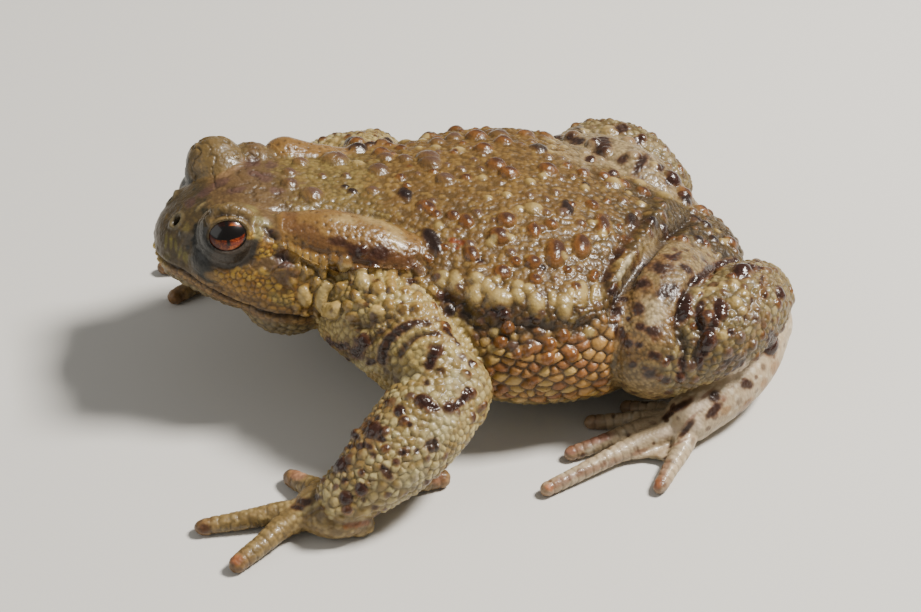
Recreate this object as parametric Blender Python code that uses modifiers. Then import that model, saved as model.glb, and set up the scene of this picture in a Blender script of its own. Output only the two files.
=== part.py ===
"""Common toad, grown female, sitting up on its forelegs: a still model at life size.

The snout points to -X, the vent to +X, and the toad's left side faces -Y. Z is up and the toad
sits on z = 0. Sizes and places are in millimetres, and MM turns them into metres. Places on the
head are given as if it looked straight ahead; place_on_head then turns it towards its left.
"""
import math
import random

import bmesh
import bpy
import numpy as np
from mathutils import Euler, Matrix, Vector
from mathutils.bvhtree import BVHTree

MM = 0.001
GAP = 0.3
LEFT = -1
RIGHT = 1
SIDE_NAMES = {LEFT: "left", RIGHT: "right"}

# The trunk: station along X, half-width, top, underside, height of the widest line
TRUNK = [
    (-26, 16.5, 33.0, 14.0, 23.0),
    (-20, 19.5, 33.5, 10.0, 21.0),
    (-12, 23.5, 33.3, 5.5, 19.0),
    (0, 28.5, 33.0, 1.5, 16.5),
    (12, 31.0, 32.2, -0.3, 15.0),
    (22, 29.5, 30.0, -0.3, 14.5),
    (31, 25.0, 27.0, 1.0, 14.5),
    (39, 19.0, 23.6, 4.0, 14.5),
    (45, 13.0, 20.4, 7.5, 14.6),
    (49, 7.5, 18.0, 11.0, 14.8),
    (50.5, 3.5, 16.4, 13.2, 14.9),
]
TRUNK_ROUNDNESS = 2.2

# The head, with the same columns
HEAD = [
    (-49.6, 2.6, 27.6, 24.0, 25.8),
    (-48.7, 5.5, 29.1, 22.3, 25.6),
    (-46.9, 8.0, 30.7, 21.2, 25.4),
    (-44, 11.0, 33.0, 20.2, 25.0),
    (-40, 14.5, 34.8, 19.2, 24.5),
    (-35, 17.3, 36.0, 17.6, 24.0),
    (-29, 19.0, 35.2, 15.4, 23.5),
    (-23, 19.6, 34.2, 13.2, 23.0),
    (-18, 19.0, 33.6, 11.2, 22.5),
    (-12, 17.0, 33.0, 11.0, 22.0),
]
HEAD_ROUNDNESS = 2.35
HEAD_TURN = math.radians(6.3)
NECK = Vector((-20, 0, 24))
# The cut between head and trunk leans back over the shoulders
NECK_CUT = Vector((-14.0, 0, 22))
NECK_CUT_LEAN = math.radians(25)

# Eyes: centre of the right one, its radius, and the opening between the lids
EYE = Vector((-38.2, 10.5, 33.4))
EYE_RADIUS = 4.3
EYE_LOOK = Vector((-0.10, 0.86, 0.50))
OPENING_LENGTH = 7.2
OPENING_HEIGHT = 5.8
OPENING_DEPTH = 5.0
LID_RIM = 0.75

# Parotoid glands, from behind the eye to over the shoulder: place and radius
PAROTOID = {
    LEFT: [(-27.5, -12, 32, 3.5), (-21.5, -12.4, 31, 4.9), (-14, -13.6, 29.1, 5.1), (-8.5, -14.6, 27.6, 4.2)],
    RIGHT: [(-27.5, 12.4, 31, 3.5), (-21.5, 12.6, 28, 4.3), (-14, 14, 25.8, 4.5), (-8.5, 15, 26.2, 3.8)],
}

# The closed mouth on the right side: along the head and up, from the snout tip to the jaw's angle
MOUTH = [(-49.3, 25.4), (-46.0, 26.0), (-42.0, 24.6), (-37.0, 23.2), (-30.0, 22.4), (-24.0, 20.6)]
MOUTH_WIDTH = 1.1
# The nostrils: along the head and out from its middle
NOSTRIL = {LEFT: (-46.4, 4.8), RIGHT: (-46.2, 6.4)}
NOSTRIL_RADIUS = 0.75

# Limbs: place and radius along each tube
UPPER_ARM = {
    LEFT: [(-15, -15, 20, 9.0), (-12.5, -20, 20.5, 8.8), (-7.5, -27, 18.5, 8.0), (-3, -33, 15, 6.9)],
    RIGHT: [(-14, 15, 18, 9.0), (-13, 22, 17.5, 8.2), (-12.5, 29, 16, 7.4), (-12, 33.5, 14.5, 6.8)],
}
FOREARM = {
    LEFT: [(-3.4, -34, 14.5, 6.8), (-7.8, -39, 13.2, 7.5), (-13.6, -44, 10.2, 6.7), (-20.5, -47.2, 5.8, 4.5)],
    RIGHT: [(-12.6, 34.5, 14, 6.6), (-18.5, 35, 12.4, 7.1), (-26.5, 32, 9.2, 6.2), (-33.5, 27.5, 5.4, 4.5)],
}
PALM = {LEFT: (-22.5, -46.8, 3.2), RIGHT: (-35.5, 25.5, 3.2)}
PALM_SIZE = (6.4, 5.2, 3.6)
# Each finger: a knuckle and the tip, on the floor
FINGERS = {
    LEFT: [
        ((-13.0, -40.8), (-4.5, -38.6), 1.75),
        ((-24.5, -41.5), (-28.8, -36.4), 1.75),
        ((-30.5, -45.8), (-43.1, -46.9), 1.55),
        ((-29.5, -48.5), (-37.6, -55.9), 1.65),
    ],
    RIGHT: [
        ((-33.0, 18.0), (-28.5, 10.5), 1.75),
        ((-41.0, 19.5), (-48.4, 14.6), 1.6),
        ((-42.5, 24.2), (-50.6, 23.8), 1.55),
        ((-40.5, 29.0), (-47.5, 34.0), 1.6),
    ],
}
THIGH = {
    LEFT: [(38, -9, 15.5, 7.6), (35.5, -13, 17.5, 8.8), (33.2, -18.5, 17.2, 9.2), (31.8, -23.8, 14.6, 8.6)],
    RIGHT: [(38, 9, 15.5, 7.6), (33.5, 14.5, 17.8, 8.8), (28, 21, 17.6, 8.6), (23.5, 26.5, 15.6, 7.6)],
}
SHANK = {
    LEFT: [(35.5, -25.5, 15, 6.6), (41.5, -23, 16.4, 7.6), (47, -17.4, 16.6, 7.6), (51, -11, 13.8, 6.5)],
    RIGHT: [(24.5, 29.5, 14, 7.0), (30, 31, 15.2, 7.7), (35.5, 29, 15, 7.2), (40, 24.5, 13, 5.9)],
}
FOOT = {
    LEFT: [(52.4, -12.5, 9.6, 5.2), (49, -19, 7.2, 5.2), (43.4, -25.0, 5.6, 5.0), (37.6, -29.4, 4.0, 4.3)],
    RIGHT: [(40.5, 26.5, 10.2, 5.0), (38.5, 33, 7.6, 4.7), (33.5, 38.5, 5.0, 4.4), (27, 41.5, 3.6, 4.0)],
}
# Each toe, from the inmost: a knuckle and the tip
TOES = {
    LEFT: [
        ((33.5, -25.5), (28.0, -22.8)),
        ((30.5, -27.5), (21.5, -26.2)),
        ((28.5, -30.2), (17.2, -33.9)),
        ((28.0, -33.6), (12.3, -42.3)),
        ((35.6, -34.8), (30.5, -43.3)),
    ],
    RIGHT: [
        ((22.8, 37.8), (18.0, 34.6)),
        ((20.0, 39.6), (11.5, 38.2)),
        ((18.4, 42.0), (7.0, 43.8)),
        ((18.0, 44.6), (3.0, 51.4)),
        ((24.6, 46.8), (20.4, 55.0)),
    ],
}
TOE_RADIUS = 1.45
WEB_THICKNESS = 0.9
WEB_REACH = 0.62

# Large warts of the back: along X, across Y, radius
BACK_WARTS = [
    (-19, 6, 2.2), (-8, -3, 1.6), (-5, -12, 2.0), (-4, -16, 2.1), (0, -9, 1.8), (3, -18, 1.8),
    (8, -12, 1.8), (7, -20, 1.7), (13, -12, 1.8), (16, -16, 2.1), (20, -14, 2.1), (19, -6, 1.6),
    (24, -8, 2.0), (29, -6, 1.6), (34, -5, 1.5), (10, 2, 1.8), (18, 13, 1.7), (27, 5, 1.5),
]
SCATTERED_WARTS = 38
WART_SPACING = 3.9
WART_SEED = 11

SKIN_BROWN = (0.33, 0.24, 0.14)
LEG_TAN = (0.38, 0.27, 0.18)
HAND_TAN = (0.42, 0.31, 0.22)
EYE_COPPER = (0.35, 0.10, 0.03)

# How finely the skins are made, then how many triangles are left of them
VOXEL = 0.5
CORE_TRIANGLES = 6300
FINE_TRIANGLES = 3600
ARM_TRIANGLES = 1350
LEG_TRIANGLES = 1000
FOOT_TRIANGLES = 800


def remove_everything():
    for thing in list(bpy.data.objects):
        bpy.data.objects.remove(thing)


def add_mesh(name, mesh):
    body = bpy.data.objects.new(name, mesh)
    bpy.context.scene.collection.objects.link(body)
    return body


def place_on_head(point):
    """Where the turned head has a point of the straight head."""
    arm = Vector(point) - NECK
    cosine = math.cos(HEAD_TURN)
    sine = math.sin(HEAD_TURN)
    return Vector((
        NECK.x + arm.x * cosine - arm.y * sine,
        NECK.y + arm.x * sine + arm.y * cosine,
        point[2],
    ))


def mirrored(point, side):
    return Vector((point[0], point[1] * side, point[2]))


def smooth_rows(stations, count):
    """Rows of numbers read at count even steps of their first column, by a monotone cubic."""
    table = np.array(stations, float)
    steps = table[:, 0]
    wanted = np.linspace(steps[0], steps[-1], count)
    spans = np.diff(steps)
    cell = np.clip(np.searchsorted(steps, wanted) - 1, 0, len(steps) - 2)
    t = (wanted - steps[cell]) / spans[cell]
    columns = [wanted]
    for values in table[:, 1:].T:
        slopes = np.diff(values) / spans
        tangent = np.zeros(len(steps))
        tangent[0] = slopes[0]
        tangent[-1] = slopes[-1]
        for i in range(1, len(steps) - 1):
            if slopes[i - 1] * slopes[i] > 0:
                before = 2 * spans[i] + spans[i - 1]
                after = spans[i] + 2 * spans[i - 1]
                tangent[i] = (before + after) / (before / slopes[i - 1] + after / slopes[i])
        rise = (2 * t**3 - 3 * t**2 + 1) * values[cell] + (3 * t**2 - 2 * t**3) * values[cell + 1]
        lean = (t**3 - 2 * t**2 + t) * tangent[cell] + (t**3 - t**2) * tangent[cell + 1]
        columns.append(rise + lean * spans[cell])
    return np.stack(columns, 1)


def section(x, half_width, top, underside, widest, roundness, count=56):
    """Points of one cross-section of the body."""
    points = []
    for i in range(count):
        angle = 2 * math.pi * i / count
        across = math.copysign(abs(math.cos(angle)) ** (2 / roundness), math.cos(angle))
        up = math.copysign(abs(math.sin(angle)) ** (2 / roundness), math.sin(angle))
        reach = top - widest if up > 0 else widest - underside
        points.append(Vector((x, half_width * across, widest + reach * up)))
    return points


def loft(name, rings):
    """A closed body through rings of points, each end closed by a fan."""
    shape = bmesh.new()
    rows = [[shape.verts.new(point * MM) for point in ring] for ring in rings]
    count = len(rows[0])
    for row, following in zip(rows, rows[1:]):
        for i in range(count):
            j = (i + 1) % count
            shape.faces.new((row[i], row[j], following[j], following[i]))
    for row in (rows[0], rows[-1]):
        middle = shape.verts.new(sum((vertex.co for vertex in row), Vector()) / count)
        for i in range(count):
            shape.faces.new((row[i], row[(i + 1) % count], middle))
    bmesh.ops.recalc_face_normals(shape, faces=shape.faces)
    mesh = bpy.data.meshes.new(name)
    shape.to_mesh(mesh)
    shape.free()
    return add_mesh(name, mesh)


def ball(name, centre, radii, turn=(0, 0, 0), segments=24, rings=14):
    """An ellipsoid; turn is in degrees about X, Y and Z."""
    bpy.ops.mesh.primitive_uv_sphere_add(segments=segments, ring_count=rings, radius=1)
    body = bpy.context.object
    body.name = name
    rotation = Euler([math.radians(angle) for angle in turn]).to_matrix().to_4x4()
    size = Matrix.Diagonal((radii[0] * MM, radii[1] * MM, radii[2] * MM, 1))
    body.matrix_world = Matrix.Translation(Vector(centre) * MM) @ rotation @ size
    return body


def head_ball(name, centre, radii):
    """An ellipsoid that turns with the head."""
    return ball(name, place_on_head(centre), radii, (0, 0, math.degrees(HEAD_TURN)))


def mesh_from_curve(curve_object):
    bpy.context.view_layer.update()
    evaluated = curve_object.evaluated_get(bpy.context.evaluated_depsgraph_get())
    mesh = bpy.data.meshes.new_from_object(evaluated)
    name = curve_object.name
    matrix = curve_object.matrix_world.copy()
    bpy.data.objects.remove(curve_object)
    shape = bmesh.new()
    shape.from_mesh(mesh)
    bmesh.ops.remove_doubles(shape, verts=shape.verts, dist=1e-6)
    bmesh.ops.recalc_face_normals(shape, faces=shape.faces)
    shape.to_mesh(mesh)
    shape.free()
    body = add_mesh(name, mesh)
    body.matrix_world = matrix
    return body


def tube(name, rows, bevel_resolution=4, closed=False):
    """A tube through rows of place and radius."""
    curve = bpy.data.curves.new(name, "CURVE")
    curve.dimensions = "3D"
    spline = curve.splines.new("BEZIER")
    spline.bezier_points.add(len(rows) - 1)
    for point, row in zip(spline.bezier_points, rows):
        point.co = Vector(row[:3]) * MM
        point.radius = row[3]
        point.handle_left_type = "AUTO"
        point.handle_right_type = "AUTO"
    spline.use_cyclic_u = closed
    curve.bevel_depth = MM
    curve.bevel_resolution = bevel_resolution
    curve.resolution_u = 8
    curve.use_fill_caps = not closed
    route = bpy.data.objects.new(name, curve)
    bpy.context.scene.collection.objects.link(route)
    return mesh_from_curve(route)


def limb(name, rows):
    """A tube with round ends."""
    pieces = [tube(name, rows)]
    for row in (rows[0], rows[-1]):
        pieces.append(ball(name + "_end", row[:3], (row[3],) * 3))
    return pieces


def join(name, pieces):
    """One object from several, in world space. The pieces are removed."""
    shape = bmesh.new()
    for piece in pieces:
        mesh = piece.data.copy()
        mesh.transform(piece.matrix_world)
        shape.from_mesh(mesh)
        bpy.data.meshes.remove(mesh)
        bpy.data.objects.remove(piece)
    mesh = bpy.data.meshes.new(name)
    shape.to_mesh(mesh)
    shape.free()
    return add_mesh(name, mesh)


def apply_modifiers(body):
    bpy.context.view_layer.update()
    evaluated = body.evaluated_get(bpy.context.evaluated_depsgraph_get())
    mesh = bpy.data.meshes.new_from_object(evaluated)
    body.modifiers.clear()
    body.data = mesh
    return body


def fuse(body, voxel, smoothing):
    """One skin round everything in the object, with its creases softened."""
    skin = body.modifiers.new("skin", "REMESH")
    skin.mode = "VOXEL"
    skin.voxel_size = voxel * MM
    soften = body.modifiers.new("soften", "SMOOTH")
    soften.factor = 0.5
    soften.iterations = smoothing
    return apply_modifiers(body)


def simplify(body, triangles):
    """Fewer triangles for the same form."""
    now = sum(len(polygon.vertices) - 2 for polygon in body.data.polygons)
    if now > triangles:
        fewer = body.modifiers.new("fewer", "DECIMATE")
        fewer.ratio = triangles / now
        apply_modifiers(body)
    return body


def copy_of(body, name):
    return add_mesh(name, body.data.copy())


def grown(body, distance):
    """A copy whose surface lies further out."""
    thicker = copy_of(body, body.name + "_grown")
    push = thicker.modifiers.new("push", "DISPLACE")
    push.mid_level = 0
    push.strength = distance * MM
    return apply_modifiers(thicker)


def cut(body, cutter, keep_cutter=False):
    """Takes the cutter's volume out of the body."""
    difference = body.modifiers.new("cut", "BOOLEAN")
    difference.operation = "DIFFERENCE"
    difference.object = cutter
    apply_modifiers(body)
    if not keep_cutter:
        bpy.data.objects.remove(cutter)
    return keep_largest(body)


def keep_largest(body):
    """Only the largest closed surface of the body stays."""
    shape = bmesh.new()
    shape.from_mesh(body.data)
    bmesh.ops.triangulate(shape, faces=shape.faces)
    bmesh.ops.dissolve_degenerate(shape, edges=shape.edges, dist=2e-6)
    unseen = set(shape.verts)
    islands = []
    while unseen:
        start = unseen.pop()
        island = {start}
        front = [start]
        while front:
            for edge in front.pop().link_edges:
                for vertex in edge.verts:
                    if vertex in unseen:
                        unseen.discard(vertex)
                        island.add(vertex)
                        front.append(vertex)
        islands.append(island)
    largest = max(islands, key=len)
    loose = [vertex for vertex in shape.verts if vertex not in largest]
    bmesh.ops.delete(shape, geom=loose, context="VERTS")
    bmesh.ops.recalc_face_normals(shape, faces=shape.faces)
    shape.to_mesh(body.data)
    shape.free()
    return body


def half_space(point, normal):
    """A large box whose one face passes through the point, filling the side the normal shows."""
    size = 200 * MM
    bpy.ops.mesh.primitive_cube_add(size=size)
    box = bpy.context.object
    direction = Vector(normal).normalized()
    turn = direction.to_track_quat("Z", "Y").to_matrix().to_4x4()
    box.matrix_world = Matrix.Translation(Vector(point) * MM + direction * size / 2) @ turn
    return join("half", [box])


def split(body, point, normal, name_before, name_after):
    """Two bodies with the touching gap between them, from one cut by a plane."""
    direction = Vector(normal).normalized()
    before = copy_of(body, name_before)
    after = copy_of(body, name_after)
    bpy.data.objects.remove(body)
    cut(before, half_space(Vector(point) - direction * GAP / 2, direction))
    cut(after, half_space(Vector(point) + direction * GAP / 2, -direction))
    return before, after


def floor_cut(body):
    """Flats on the floor where the body reaches it."""
    return cut(body, half_space((0, 0, 0), (0, 0, -1)))


def surface_of(body):
    shape = bmesh.new()
    shape.from_mesh(body.data)
    tree = BVHTree.FromBMesh(shape)
    shape.free()
    return tree


def on_surface(tree, start, direction):
    """The first point that a ray meets, in millimetres, and the surface's normal there."""
    place, normal, index, distance = tree.ray_cast(Vector(start) * MM, Vector(direction).normalized())
    if place is None:
        return None, None
    return place / MM, normal


def wart(place, normal, radius):
    """A low dome with its root in the skin."""
    bpy.ops.mesh.primitive_ico_sphere_add(subdivisions=2, radius=1)
    dome = bpy.context.object
    turn = normal.to_track_quat("Z", "Y").to_matrix().to_4x4()
    size = Matrix.Diagonal((radius * MM, radius * MM, radius * 0.85 * MM, 1))
    dome.matrix_world = Matrix.Translation(place * MM) @ turn @ size
    return dome


def trunk_form():
    rows = smooth_rows(TRUNK, 60)
    return loft("trunk", [section(*row, TRUNK_ROUNDNESS) for row in rows])


def head_form():
    rings = []
    for row in smooth_rows(HEAD, 44):
        rings.append([place_on_head(point) for point in section(*row, HEAD_ROUNDNESS)])
    return loft("head", rings)


def eye_axes(side):
    """Which way an eye looks, and the up and forward directions of its lids."""
    look = mirrored(EYE_LOOK, side)
    look.rotate(Euler((0, 0, HEAD_TURN)))
    look.normalize()
    forward = Vector((-math.cos(HEAD_TURN), -math.sin(HEAD_TURN), 0))
    forward = (forward - look * forward.dot(look)).normalized()
    up = look.cross(forward)
    if up.z < 0:
        up = -up
    return look, up, forward


def eye_centre(side):
    return place_on_head(mirrored(EYE, side))


def head_masses(side):
    """What swells from one side of the head: lids, brow, cheek, ear disc, shoulder and gland."""
    centre = eye_centre(side)
    look, up, forward = eye_axes(side)
    lid = EYE_RADIUS + LID_RIM
    pieces = [
        ball("lid", centre, (lid, lid, lid)),
        head_ball("upper_lid", (-37.6, 9.2 * side, 32.6), (5.9, 5.2, 5.0)),
        head_ball("under_eye", (-38.3, 9.6 * side, 28.2), (6.6, 5.2, 5.2)),
        head_ball("brow", (-32.5, 10.5 * side, 32.0), (5.5, 4.6, 4.2)),
        head_ball("snout_ridge", (-42.6, 5.4 * side, 31.0), (3.4, 2.0, 1.4)),
        head_ball("cheek", (-29.0, 14.2 * side, 22.5), (8.0, 5.6, 6.8)),
        head_ball("ear_disc", (-30.0, 17.2 * side, 29.2), (2.2, 0.9, 2.0)),
        ball("shoulder", (-14.0, 16.5 * side, 20.0), (9.0, 8.0, 10.0)),
    ]
    pieces += limb("parotoid", PAROTOID[side])
    rim = []
    for i in range(12):
        angle = 2 * math.pi * i / 12
        along = forward * math.cos(angle) * (OPENING_LENGTH / 2 + 0.35)
        above = up * math.sin(angle) * (OPENING_HEIGHT / 2 + 0.35)
        outward = math.sqrt(max(EYE_RADIUS**2 - (along + above).length_squared, 0.5))
        point = centre + along + above + look * (outward + 0.25)
        rim.append((*point, LID_RIM))
    pieces.append(tube("lid_rim", rim, closed=True))
    return pieces


def back_warts(tree):
    """Domes on the back and flanks: the large ones where they are seen, others drawn by seed."""
    spots = []
    for x, y, radius in BACK_WARTS:
        spots.append((*on_surface(tree, (x, y, 80), (0, 0, -1)), radius))
    draw = random.Random(WART_SEED)
    tries = 0
    while len(spots) < len(BACK_WARTS) + SCATTERED_WARTS and tries < 4000:
        tries += 1
        x = draw.uniform(-17, 43)
        angle = math.radians(draw.uniform(-8, 188))
        outward = Vector((0, math.cos(angle), math.sin(angle)))
        place, normal = on_surface(tree, Vector((x, 0, 12)) + outward * 70, -outward)
        far_enough = all((place - other).length > WART_SPACING for other, turn, radius in spots)
        if far_enough:
            spots.append((place, normal, draw.uniform(1.1, 1.7)))
    return [wart(place, normal, radius) for place, normal, radius in spots]


def core_form():
    """Trunk and head as one skin, with glands, lids and warts."""
    plain = [trunk_form(), head_form()]
    for side in (LEFT, RIGHT):
        plain += head_masses(side)
    body = fuse(join("core", plain), VOXEL, 8)
    tree = surface_of(body)
    return fuse(join("core", [body] + back_warts(tree)), VOXEL, 2)


def mouth_cutter(tree):
    """A thin bar along the closed mouth, half sunk in the skin."""
    right = []
    left = []
    for side, route in ((RIGHT, right), (LEFT, left)):
        for x, z in MOUTH:
            start = place_on_head((x, 60 * side, z))
            aim = place_on_head((x, 0, z)) - start
            place, normal = on_surface(tree, start, aim)
            if place is not None:
                route.append((*place, MOUTH_WIDTH / 2))
    height = MOUTH[0][1] - 0.2
    ahead = place_on_head((-90, 0, height))
    tip, normal = on_surface(tree, ahead, place_on_head((0, 0, height)) - ahead)
    route = left[::-1] + [(*tip, MOUTH_WIDTH / 2)] + right
    return tube("mouth", route, bevel_resolution=1)


def nostril_cutter(tree, side):
    x, y = NOSTRIL[side]
    start = place_on_head((x - 2, (y + 6) * side, 60))
    aim = place_on_head((x, y * side, 33)) - start
    place, normal = on_surface(tree, start, aim)
    return ball("nostril", place, (NOSTRIL_RADIUS,) * 3, segments=8, rings=6)


def make_head(core):
    """The head's node, with pockets for the eyes, the mouth's line and the nostrils."""
    head = copy_of(core, "head")
    lean = Vector((math.cos(NECK_CUT_LEAN), 0, -math.sin(NECK_CUT_LEAN)))
    cut(head, half_space(NECK_CUT - lean * GAP / 2, lean))
    for side in (LEFT, RIGHT):
        centre = eye_centre(side)
        look, up, forward = eye_axes(side)
        radii = (OPENING_LENGTH / 2, OPENING_HEIGHT / 2, OPENING_DEPTH)
        opening = ball("opening", (0, 0, 0), radii, segments=16, rings=8)
        frame = Matrix((forward, up, forward.cross(up))).transposed().to_4x4()
        place = Matrix.Translation((centre + look * (EYE_RADIUS + 0.6)) * MM)
        opening.matrix_world = place @ frame @ opening.matrix_world
        cut(head, join("opening", [opening]))
        cut(head, ball("pocket", centre, (EYE_RADIUS + GAP,) * 3, segments=20, rings=12))
    tree = surface_of(head)
    cut(head, mouth_cutter(tree))
    for side in (LEFT, RIGHT):
        cut(head, nostril_cutter(tree, side))
    return head


def make_eye(side):
    eyeball = ball("eye", eye_centre(side), (EYE_RADIUS,) * 3, segments=16, rings=10)
    return join("eye_" + SIDE_NAMES[side], [eyeball])


def make_torso(core):
    torso = copy_of(core, "torso")
    lean = Vector((math.cos(NECK_CUT_LEAN), 0, -math.sin(NECK_CUT_LEAN)))
    cut(torso, half_space(NECK_CUT + lean * GAP / 2, -lean))
    return floor_cut(torso)


def digit(name, root, knuckle, tip, radius):
    """A finger or toe that lies on the floor, thick at the knuckle and blunt at the tip."""
    middle = [(knuckle[0] + tip[0]) / 2, (knuckle[1] + tip[1]) / 2]
    return limb(name, [
        (root[0], root[1], 3.0, radius * 1.5),
        (knuckle[0], knuckle[1], radius * 1.5, radius * 1.22),
        (middle[0], middle[1], radius * 1.15, radius),
        (tip[0], tip[1], radius * 0.82, radius * 0.88),
    ])


def hand_form(side):
    palm = PALM[side]
    pieces = [ball("palm", palm, PALM_SIZE, (0, 0, 25 * side))]
    for knuckle, tip, radius in FINGERS[side]:
        pieces += digit("finger", palm, knuckle, tip, radius)
    heel = (palm[0] + 4.0, palm[1] + 1.4 * side, 1.7)
    pieces.append(ball("heel_pad", heel, (2.6, 2.6, 2.2)))
    return pieces


def web(name, root, first, second):
    """The skin between two toes: a thin sheet with a hollow edge."""
    edge = []
    for share in (0.0, 0.25, 0.5, 0.75, 1.0):
        reach = WEB_REACH * (1 - 0.9 * share * (1 - share))
        tip = Vector(first).lerp(Vector(second), share)
        edge.append(Vector(root).lerp(tip, reach))
    curve = bpy.data.curves.new(name, "CURVE")
    curve.dimensions = "2D"
    curve.fill_mode = "BOTH"
    curve.extrude = WEB_THICKNESS / 2 * MM
    spline = curve.splines.new("POLY")
    outline = [Vector(root)] + edge
    spline.points.add(len(outline) - 1)
    for point, place in zip(spline.points, outline):
        point.co = (place.x * MM, place.y * MM, 0, 1)
    spline.use_cyclic_u = True
    sheet = bpy.data.objects.new(name, curve)
    sheet.location.z = 1.2 * MM
    bpy.context.scene.collection.objects.link(sheet)
    return mesh_from_curve(sheet)


def foot_form(side):
    pieces = limb("foot", FOOT[side])
    root = FOOT[side][-1]
    for knuckle, tip in TOES[side]:
        pieces += digit("toe", root, knuckle, tip, TOE_RADIUS)
    tips = [tip for knuckle, tip in TOES[side]]
    for first, second in zip(tips, tips[1:]):
        pieces.append(web("web", root[:2], first, second))
    spur = (root[0] - 1.5, root[1] - 3.4 * side, 1.9)
    pieces.append(ball("spur", spur, (2.4, 1.7, 1.9), (0, 0, 20 * side)))
    return pieces


def limb_warts(tree, rows, count, seed):
    """A few domes on the outer side of a limb."""
    draw = random.Random(seed)
    domes = []
    for i in range(count):
        share = (i + draw.uniform(0.2, 0.8)) / count * (len(rows) - 1)
        index = min(int(share), len(rows) - 2)
        middle = Vector(rows[index][:3]).lerp(Vector(rows[index + 1][:3]), share - index)
        away = Vector((draw.uniform(-0.6, 0.6), math.copysign(1, middle.y), draw.uniform(0.1, 1.2)))
        place, normal = on_surface(tree, middle + away.normalized() * 30, -away)
        if place is not None and place.z > 4:
            domes.append(wart(place, normal, draw.uniform(1.0, 1.6)))
    return domes


def fused_limb(name, pieces, warty_rows, count, seed):
    body = fuse(join(name, pieces), VOXEL, 6)
    tree = surface_of(body)
    domes = []
    for rows in warty_rows:
        domes += limb_warts(tree, rows, count, seed)
    if domes:
        body = fuse(join(name, [body] + domes), VOXEL, 1)
    return body


def bisector(corner, before, after):
    """The normal of the plane that parts two limb segments at their joint."""
    first = (Vector(before) - Vector(corner)).normalized()
    second = (Vector(after) - Vector(corner)).normalized()
    return (second - first).normalized()


def make_arm(side, skin):
    """Upper arm, forearm and hand of one side, cut clear of the body's skin."""
    name = SIDE_NAMES[side]
    upper = UPPER_ARM[side]
    fore = FOREARM[side]
    pieces = limb("upper_arm", upper) + limb("forearm", fore) + hand_form(side)
    arm = fused_limb("arm", pieces, [fore], 6, 20 + side)
    simplify(arm, FINE_TRIANGLES)
    cut(arm, skin, keep_cutter=True)
    simplify(arm, ARM_TRIANGLES)
    floor_cut(arm)
    elbow = Vector(upper[-1][:3]).lerp(Vector(fore[0][:3]), 0.5)
    normal = bisector(elbow, upper[1][:3], fore[2][:3])
    upper_arm, rest = split(arm, elbow, normal, "upper_arm_" + name, "rest")
    wrist = Vector(fore[-1][:3])
    along = Vector(fore[-1][:3]) - Vector(fore[-2][:3])
    return [upper_arm, *split(rest, wrist, along, "forearm_" + name, "hand_" + name)]


def make_leg(side, skin):
    """Thigh, shank and foot of one side, folded against the body."""
    name = SIDE_NAMES[side]
    thigh_rows = THIGH[side]
    shank_rows = SHANK[side]
    pieces = limb("thigh", thigh_rows) + limb("shank", shank_rows)
    leg = fused_limb("leg", pieces, [thigh_rows[1:], shank_rows], 4, 40 + side)
    simplify(leg, FINE_TRIANGLES)
    cut(leg, skin, keep_cutter=True)
    simplify(leg, LEG_TRIANGLES)
    leg_skin = grown(leg, GAP * 1.3)
    foot = fused_limb("foot", foot_form(side), [FOOT[side]], 3, 60 + side)
    foot.name = "foot_" + name
    simplify(foot, FINE_TRIANGLES)
    cut(foot, leg_skin)
    cut(foot, skin, keep_cutter=True)
    simplify(foot, FOOT_TRIANGLES)
    floor_cut(foot)
    knee = Vector(thigh_rows[-1][:3]).lerp(Vector(shank_rows[0][:3]), 0.5)
    normal = bisector(knee, thigh_rows[1][:3], shank_rows[2][:3])
    return [*split(leg, knee, normal, "thigh_" + name, "shank_" + name), foot]


def paint(body, colour, roughness):
    """Gives the body its own material and its own smooth shading."""
    material = bpy.data.materials.new(body.name)
    material.use_nodes = True
    shader = material.node_tree.nodes["Principled BSDF"]
    shader.inputs["Base Color"].default_value = (*colour, 1)
    shader.inputs["Roughness"].default_value = roughness
    shader.inputs["Metallic"].default_value = 0
    body.data.materials.clear()
    body.data.materials.append(material)
    body.data.shade_smooth()
    body.data.set_sharp_from_angle(angle=math.radians(50))


def stand_on_origin(bodies):
    """Moves the toad so that the middle of its box, at the floor, is the origin."""
    corners = np.array([vertex.co for body in bodies for vertex in body.data.vertices])
    middle = (corners.min(axis=0) + corners.max(axis=0)) / 2
    for body in bodies:
        body.data.transform(Matrix.Translation((-middle[0], -middle[1], 0)))


def main():
    remove_everything()
    core = simplify(core_form(), CORE_TRIANGLES)
    torso = make_torso(core)
    head = make_head(core)
    skin_cutter = grown(core, GAP * 1.3)
    bpy.data.objects.remove(core)
    bodies = [torso, head, make_eye(LEFT), make_eye(RIGHT)]
    for side in (LEFT, RIGHT):
        bodies += make_arm(side, skin_cutter)
        bodies += make_leg(side, skin_cutter)
    bpy.data.objects.remove(skin_cutter)
    stand_on_origin(bodies)

    toad = bpy.data.collections.new("toad")
    bpy.context.scene.collection.children.link(toad)
    for body in bodies:
        bpy.context.scene.collection.objects.unlink(body)
        toad.objects.link(body)
        if body.name.startswith("eye"):
            paint(body, EYE_COPPER, 0.1)
        elif body.name.startswith(("hand", "foot")):
            paint(body, HAND_TAN, 0.5)
        elif body.name.startswith(("thigh", "shank", "forearm")):
            paint(body, LEG_TAN, 0.5)
        else:
            paint(body, SKIN_BROWN, 0.5)


main()
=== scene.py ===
"""Common toad sitting up on its forelegs: one fine skin and two eyes round the fixed solids.

Sizes and places are in millimetres, in the frame that the forms are drawn in: the snout points
to -X, the toad's left side faces -Y and the floor is z = 0. The eyes of the loaded frame give the
shift from there to the frame's own origin. Names that end in _PX hold places in the photo's frame
of 921 by 612 pixels, which rays from the camera carry onto the skin.
"""
import math

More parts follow.
